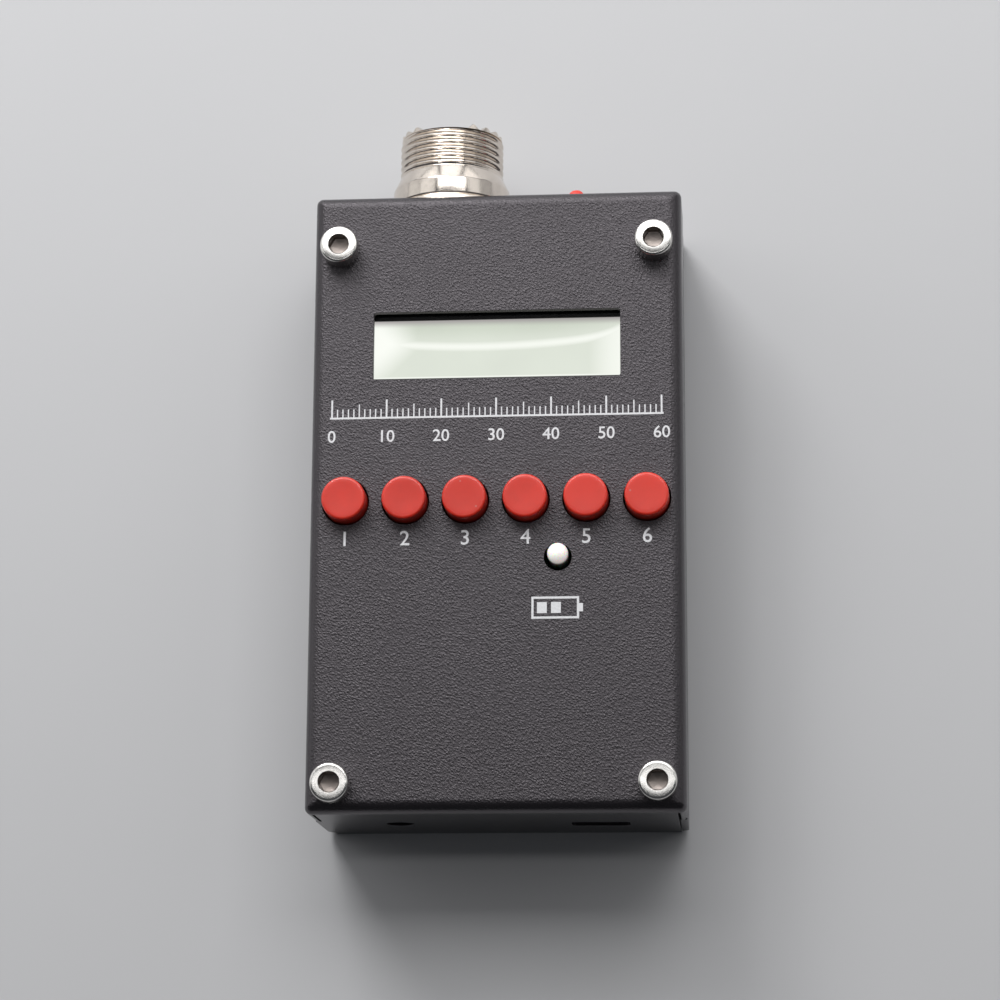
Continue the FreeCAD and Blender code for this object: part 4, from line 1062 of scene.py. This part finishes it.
class ANALYZER_OT_print(Step, bpy.types.Operator):
    """White print on the face: a tick scale, key numbers, and a battery mark by the lamp"""

    bl_idname = "analyzer.print_marks"
    bl_label = "Printed marks"

    def execute(self, context):
        settings = context.scene.analyzer_print
        ink = print_ink(settings)
        bottom, top = FACE_Z - 0.01 * MM, FACE_Z + settings.ink_height
        add_piece("tick_scale", [self.scale(bottom, top)], ink)
        add_piece("battery_mark", [self.battery(bottom, top)], ink)
        for number in KEYS:
            centre = middle(f"button_cap_{number}")
            spot = (centre.x, KEY_NUMBERS_Y)
            self.numeral(str(number), f"key_number_{number}", spot, 3.05 * MM, bottom, top, ink)
        for step in range(7):
            spot = (SCALE_LEFT + 10 * TICK_STEP * step, SCALE_NUMBERS_Y)
            self.numeral(str(step * 10), f"scale_number_{step}", spot, 2.5 * MM, bottom, top, ink)
        return {"FINISHED"}

    def scale(self, bottom, top):
        """Ticks at equal steps over a base line: every tenth is longest, every fifth is middling."""
        index = np.arange(61)
        x = SCALE_LEFT + TICK_STEP * index
        reach = np.where(index % 10 == 0, 2.6, np.where(index % 5 == 0, 1.9, 1.2)) * MM
        half = np.where(index % 10 == 0, 0.13, 0.09) * MM
        lows = np.column_stack([x - half, np.full(61, SCALE_BASE), np.full(61, bottom)])
        highs = np.column_stack([x + half, SCALE_BASE + reach, np.full(61, top)])
        line_low = [[-24.2 * MM, SCALE_BASE - 0.28 * MM, bottom]]
        line_high = [[24.2 * MM, SCALE_BASE, top]]
        return bars(np.concatenate([lows, line_low]), np.concatenate([highs, line_high]))

    def battery(self, bottom, top):
        """Frame of four bars, a nub at its right end and two upright bars inside."""
        left, right, low, high, line = 5.2, 12.0, -18.26, -15.06, 0.32
        boxes = np.array([
            [left, low, right, low + line], [left, high - line, right, high],
            [left, low + line, left + line, high - line], [right - line, low + line, right, high - line],
            [right, -17.26, right + 0.55, -16.06],
            [left + 0.8, low + 0.8, left + 2.2, high - 0.8],
            [left + 2.8, low + 0.8, left + 4.2, high - 0.8],
        ]) * MM
        count = len(boxes)
        lows = np.column_stack([boxes[:, 0], boxes[:, 1], np.full(count, bottom)])
        highs = np.column_stack([boxes[:, 2], boxes[:, 3], np.full(count, top)])
        return bars(lows, highs)

    def numeral(self, text, name, spot, size, bottom, top, ink):
        """Plain figures, made a mesh first and then carried to their place."""
        curve = bpy.data.curves.new(name, "FONT")
        curve.body = text
        curve.size = size
        curve.align_x = "CENTER"
        curve.align_y = "CENTER"
        curve.extrude = (top - bottom) / 2
        curve.offset = 0.02 * MM
        curve.resolution_u = 4
        letters = bpy.data.objects.new(name, curve)
        bpy.context.scene.collection.objects.link(letters)
        bpy.context.view_layer.update()
        shown = letters.evaluated_get(bpy.context.evaluated_depsgraph_get())
        mesh = bpy.data.meshes.new_from_object(shown)
        bpy.data.objects.remove(letters)
        mesh.materials.clear()
        with editing(mesh) as shape:
            bmesh.ops.remove_doubles(shape, verts=shape.verts, dist=1e-7)
            bmesh.ops.recalc_face_normals(shape, faces=shape.faces)
        mesh.transform(Matrix.Translation((*spot, (top + bottom) / 2)))
        place(name, mesh, ink)


class ANALYZER_OT_inner_parts(Step, bpy.types.Operator):
    """Standoffs, battery and the parts on the main board"""

    bl_idname = "analyzer.finish_inner_parts"
    bl_label = "Inner parts"

    def execute(self, context):
        finishes = [
            (sheet_metal("plated standoff brass", (0.70, 0.62, 0.45), 0.28),
             ["lower_standoffs", "middle_standoffs", "upper_standoffs"]),
            (moulded_plastic("chip epoxy", (0.014, 0.014, 0.015), 0.55, 0.08 * MM),
             ["charger_chip", "controller_chip", "dds_chip", "upper_detector_chip", "lower_detector_chip"]),
            (sheet_metal("drawn can steel", (0.58, 0.58, 0.57), 0.24), ["oscillator_can"]),
            (moulded_plastic("yellow capacitor resin", (0.62, 0.36, 0.03), 0.4), ["filter_capacitors"]),
            (moulded_plastic("foam pad", (0.05, 0.05, 0.052), 0.9, 0.3 * MM, 0.12 * MM), ["battery_pad"]),
            (foil("battery laminate", (0.66, 0.66, 0.67)), ["battery_pouch"]),
            (sheet_metal("nickel tabs", (0.66, 0.63, 0.58), 0.3),
             ["battery_tab_plus", "battery_tab_minus"]),
            (moulded_plastic("white connector plastic", (0.72, 0.70, 0.64), 0.45), ["battery_clip"]),
        ]
        for material, names in finishes:
            for name in names:
                finish_node(name, material)
        return {"FINISHED"}


def finish_node(name, material):
    """Gives one of the frame's own solids its material."""
    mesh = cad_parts[name].data
    mesh.materials.clear()
    mesh.materials.append(material)


class ANALYZER_PT_pieces(bpy.types.Panel):
    """Lists the steps that build the look, with their settings"""

    bl_label = "Analyzer"
    bl_idname = "ANALYZER_PT_pieces"
    bl_space_type = "VIEW_3D"
    bl_region_type = "UI"
    bl_category = "Analyzer"

    def draw(self, context):
        for step in STEPS:
            self.layout.operator(step.bl_idname)
        for holder, group in SETTINGS.items():
            box = self.layout.box()
            box.label(text=holder.replace("analyzer_", "").title())
            for name in group.__annotations__:
                box.prop(getattr(context.scene, holder), name)


STEPS = (
    ANALYZER_OT_stage,
    ANALYZER_OT_case,
    ANALYZER_OT_screws,
    ANALYZER_OT_keys,
    ANALYZER_OT_power_button,
    ANALYZER_OT_lamp,
    ANALYZER_OT_display,
    ANALYZER_OT_antenna_socket,
    ANALYZER_OT_power_sockets,
    ANALYZER_OT_print,
    ANALYZER_OT_inner_parts,
)


def register():
    for holder, group in SETTINGS.items():
        bpy.utils.register_class(group)
        setattr(bpy.types.Scene, holder, bpy.props.PointerProperty(type=group))
    for kind in (*STEPS, ANALYZER_PT_pieces):
        bpy.utils.register_class(kind)


def unregister():
    for kind in (ANALYZER_PT_pieces, *reversed(STEPS)):
        bpy.utils.unregister_class(kind)
    for holder, group in reversed(SETTINGS.items()):
        delattr(bpy.types.Scene, holder)
        bpy.utils.unregister_class(group)


def main():
    register()
    for step in STEPS:
        family, name = step.bl_idname.split(".")
        getattr(getattr(bpy.ops, family), name)()


if __name__ == "__main__":
    main()
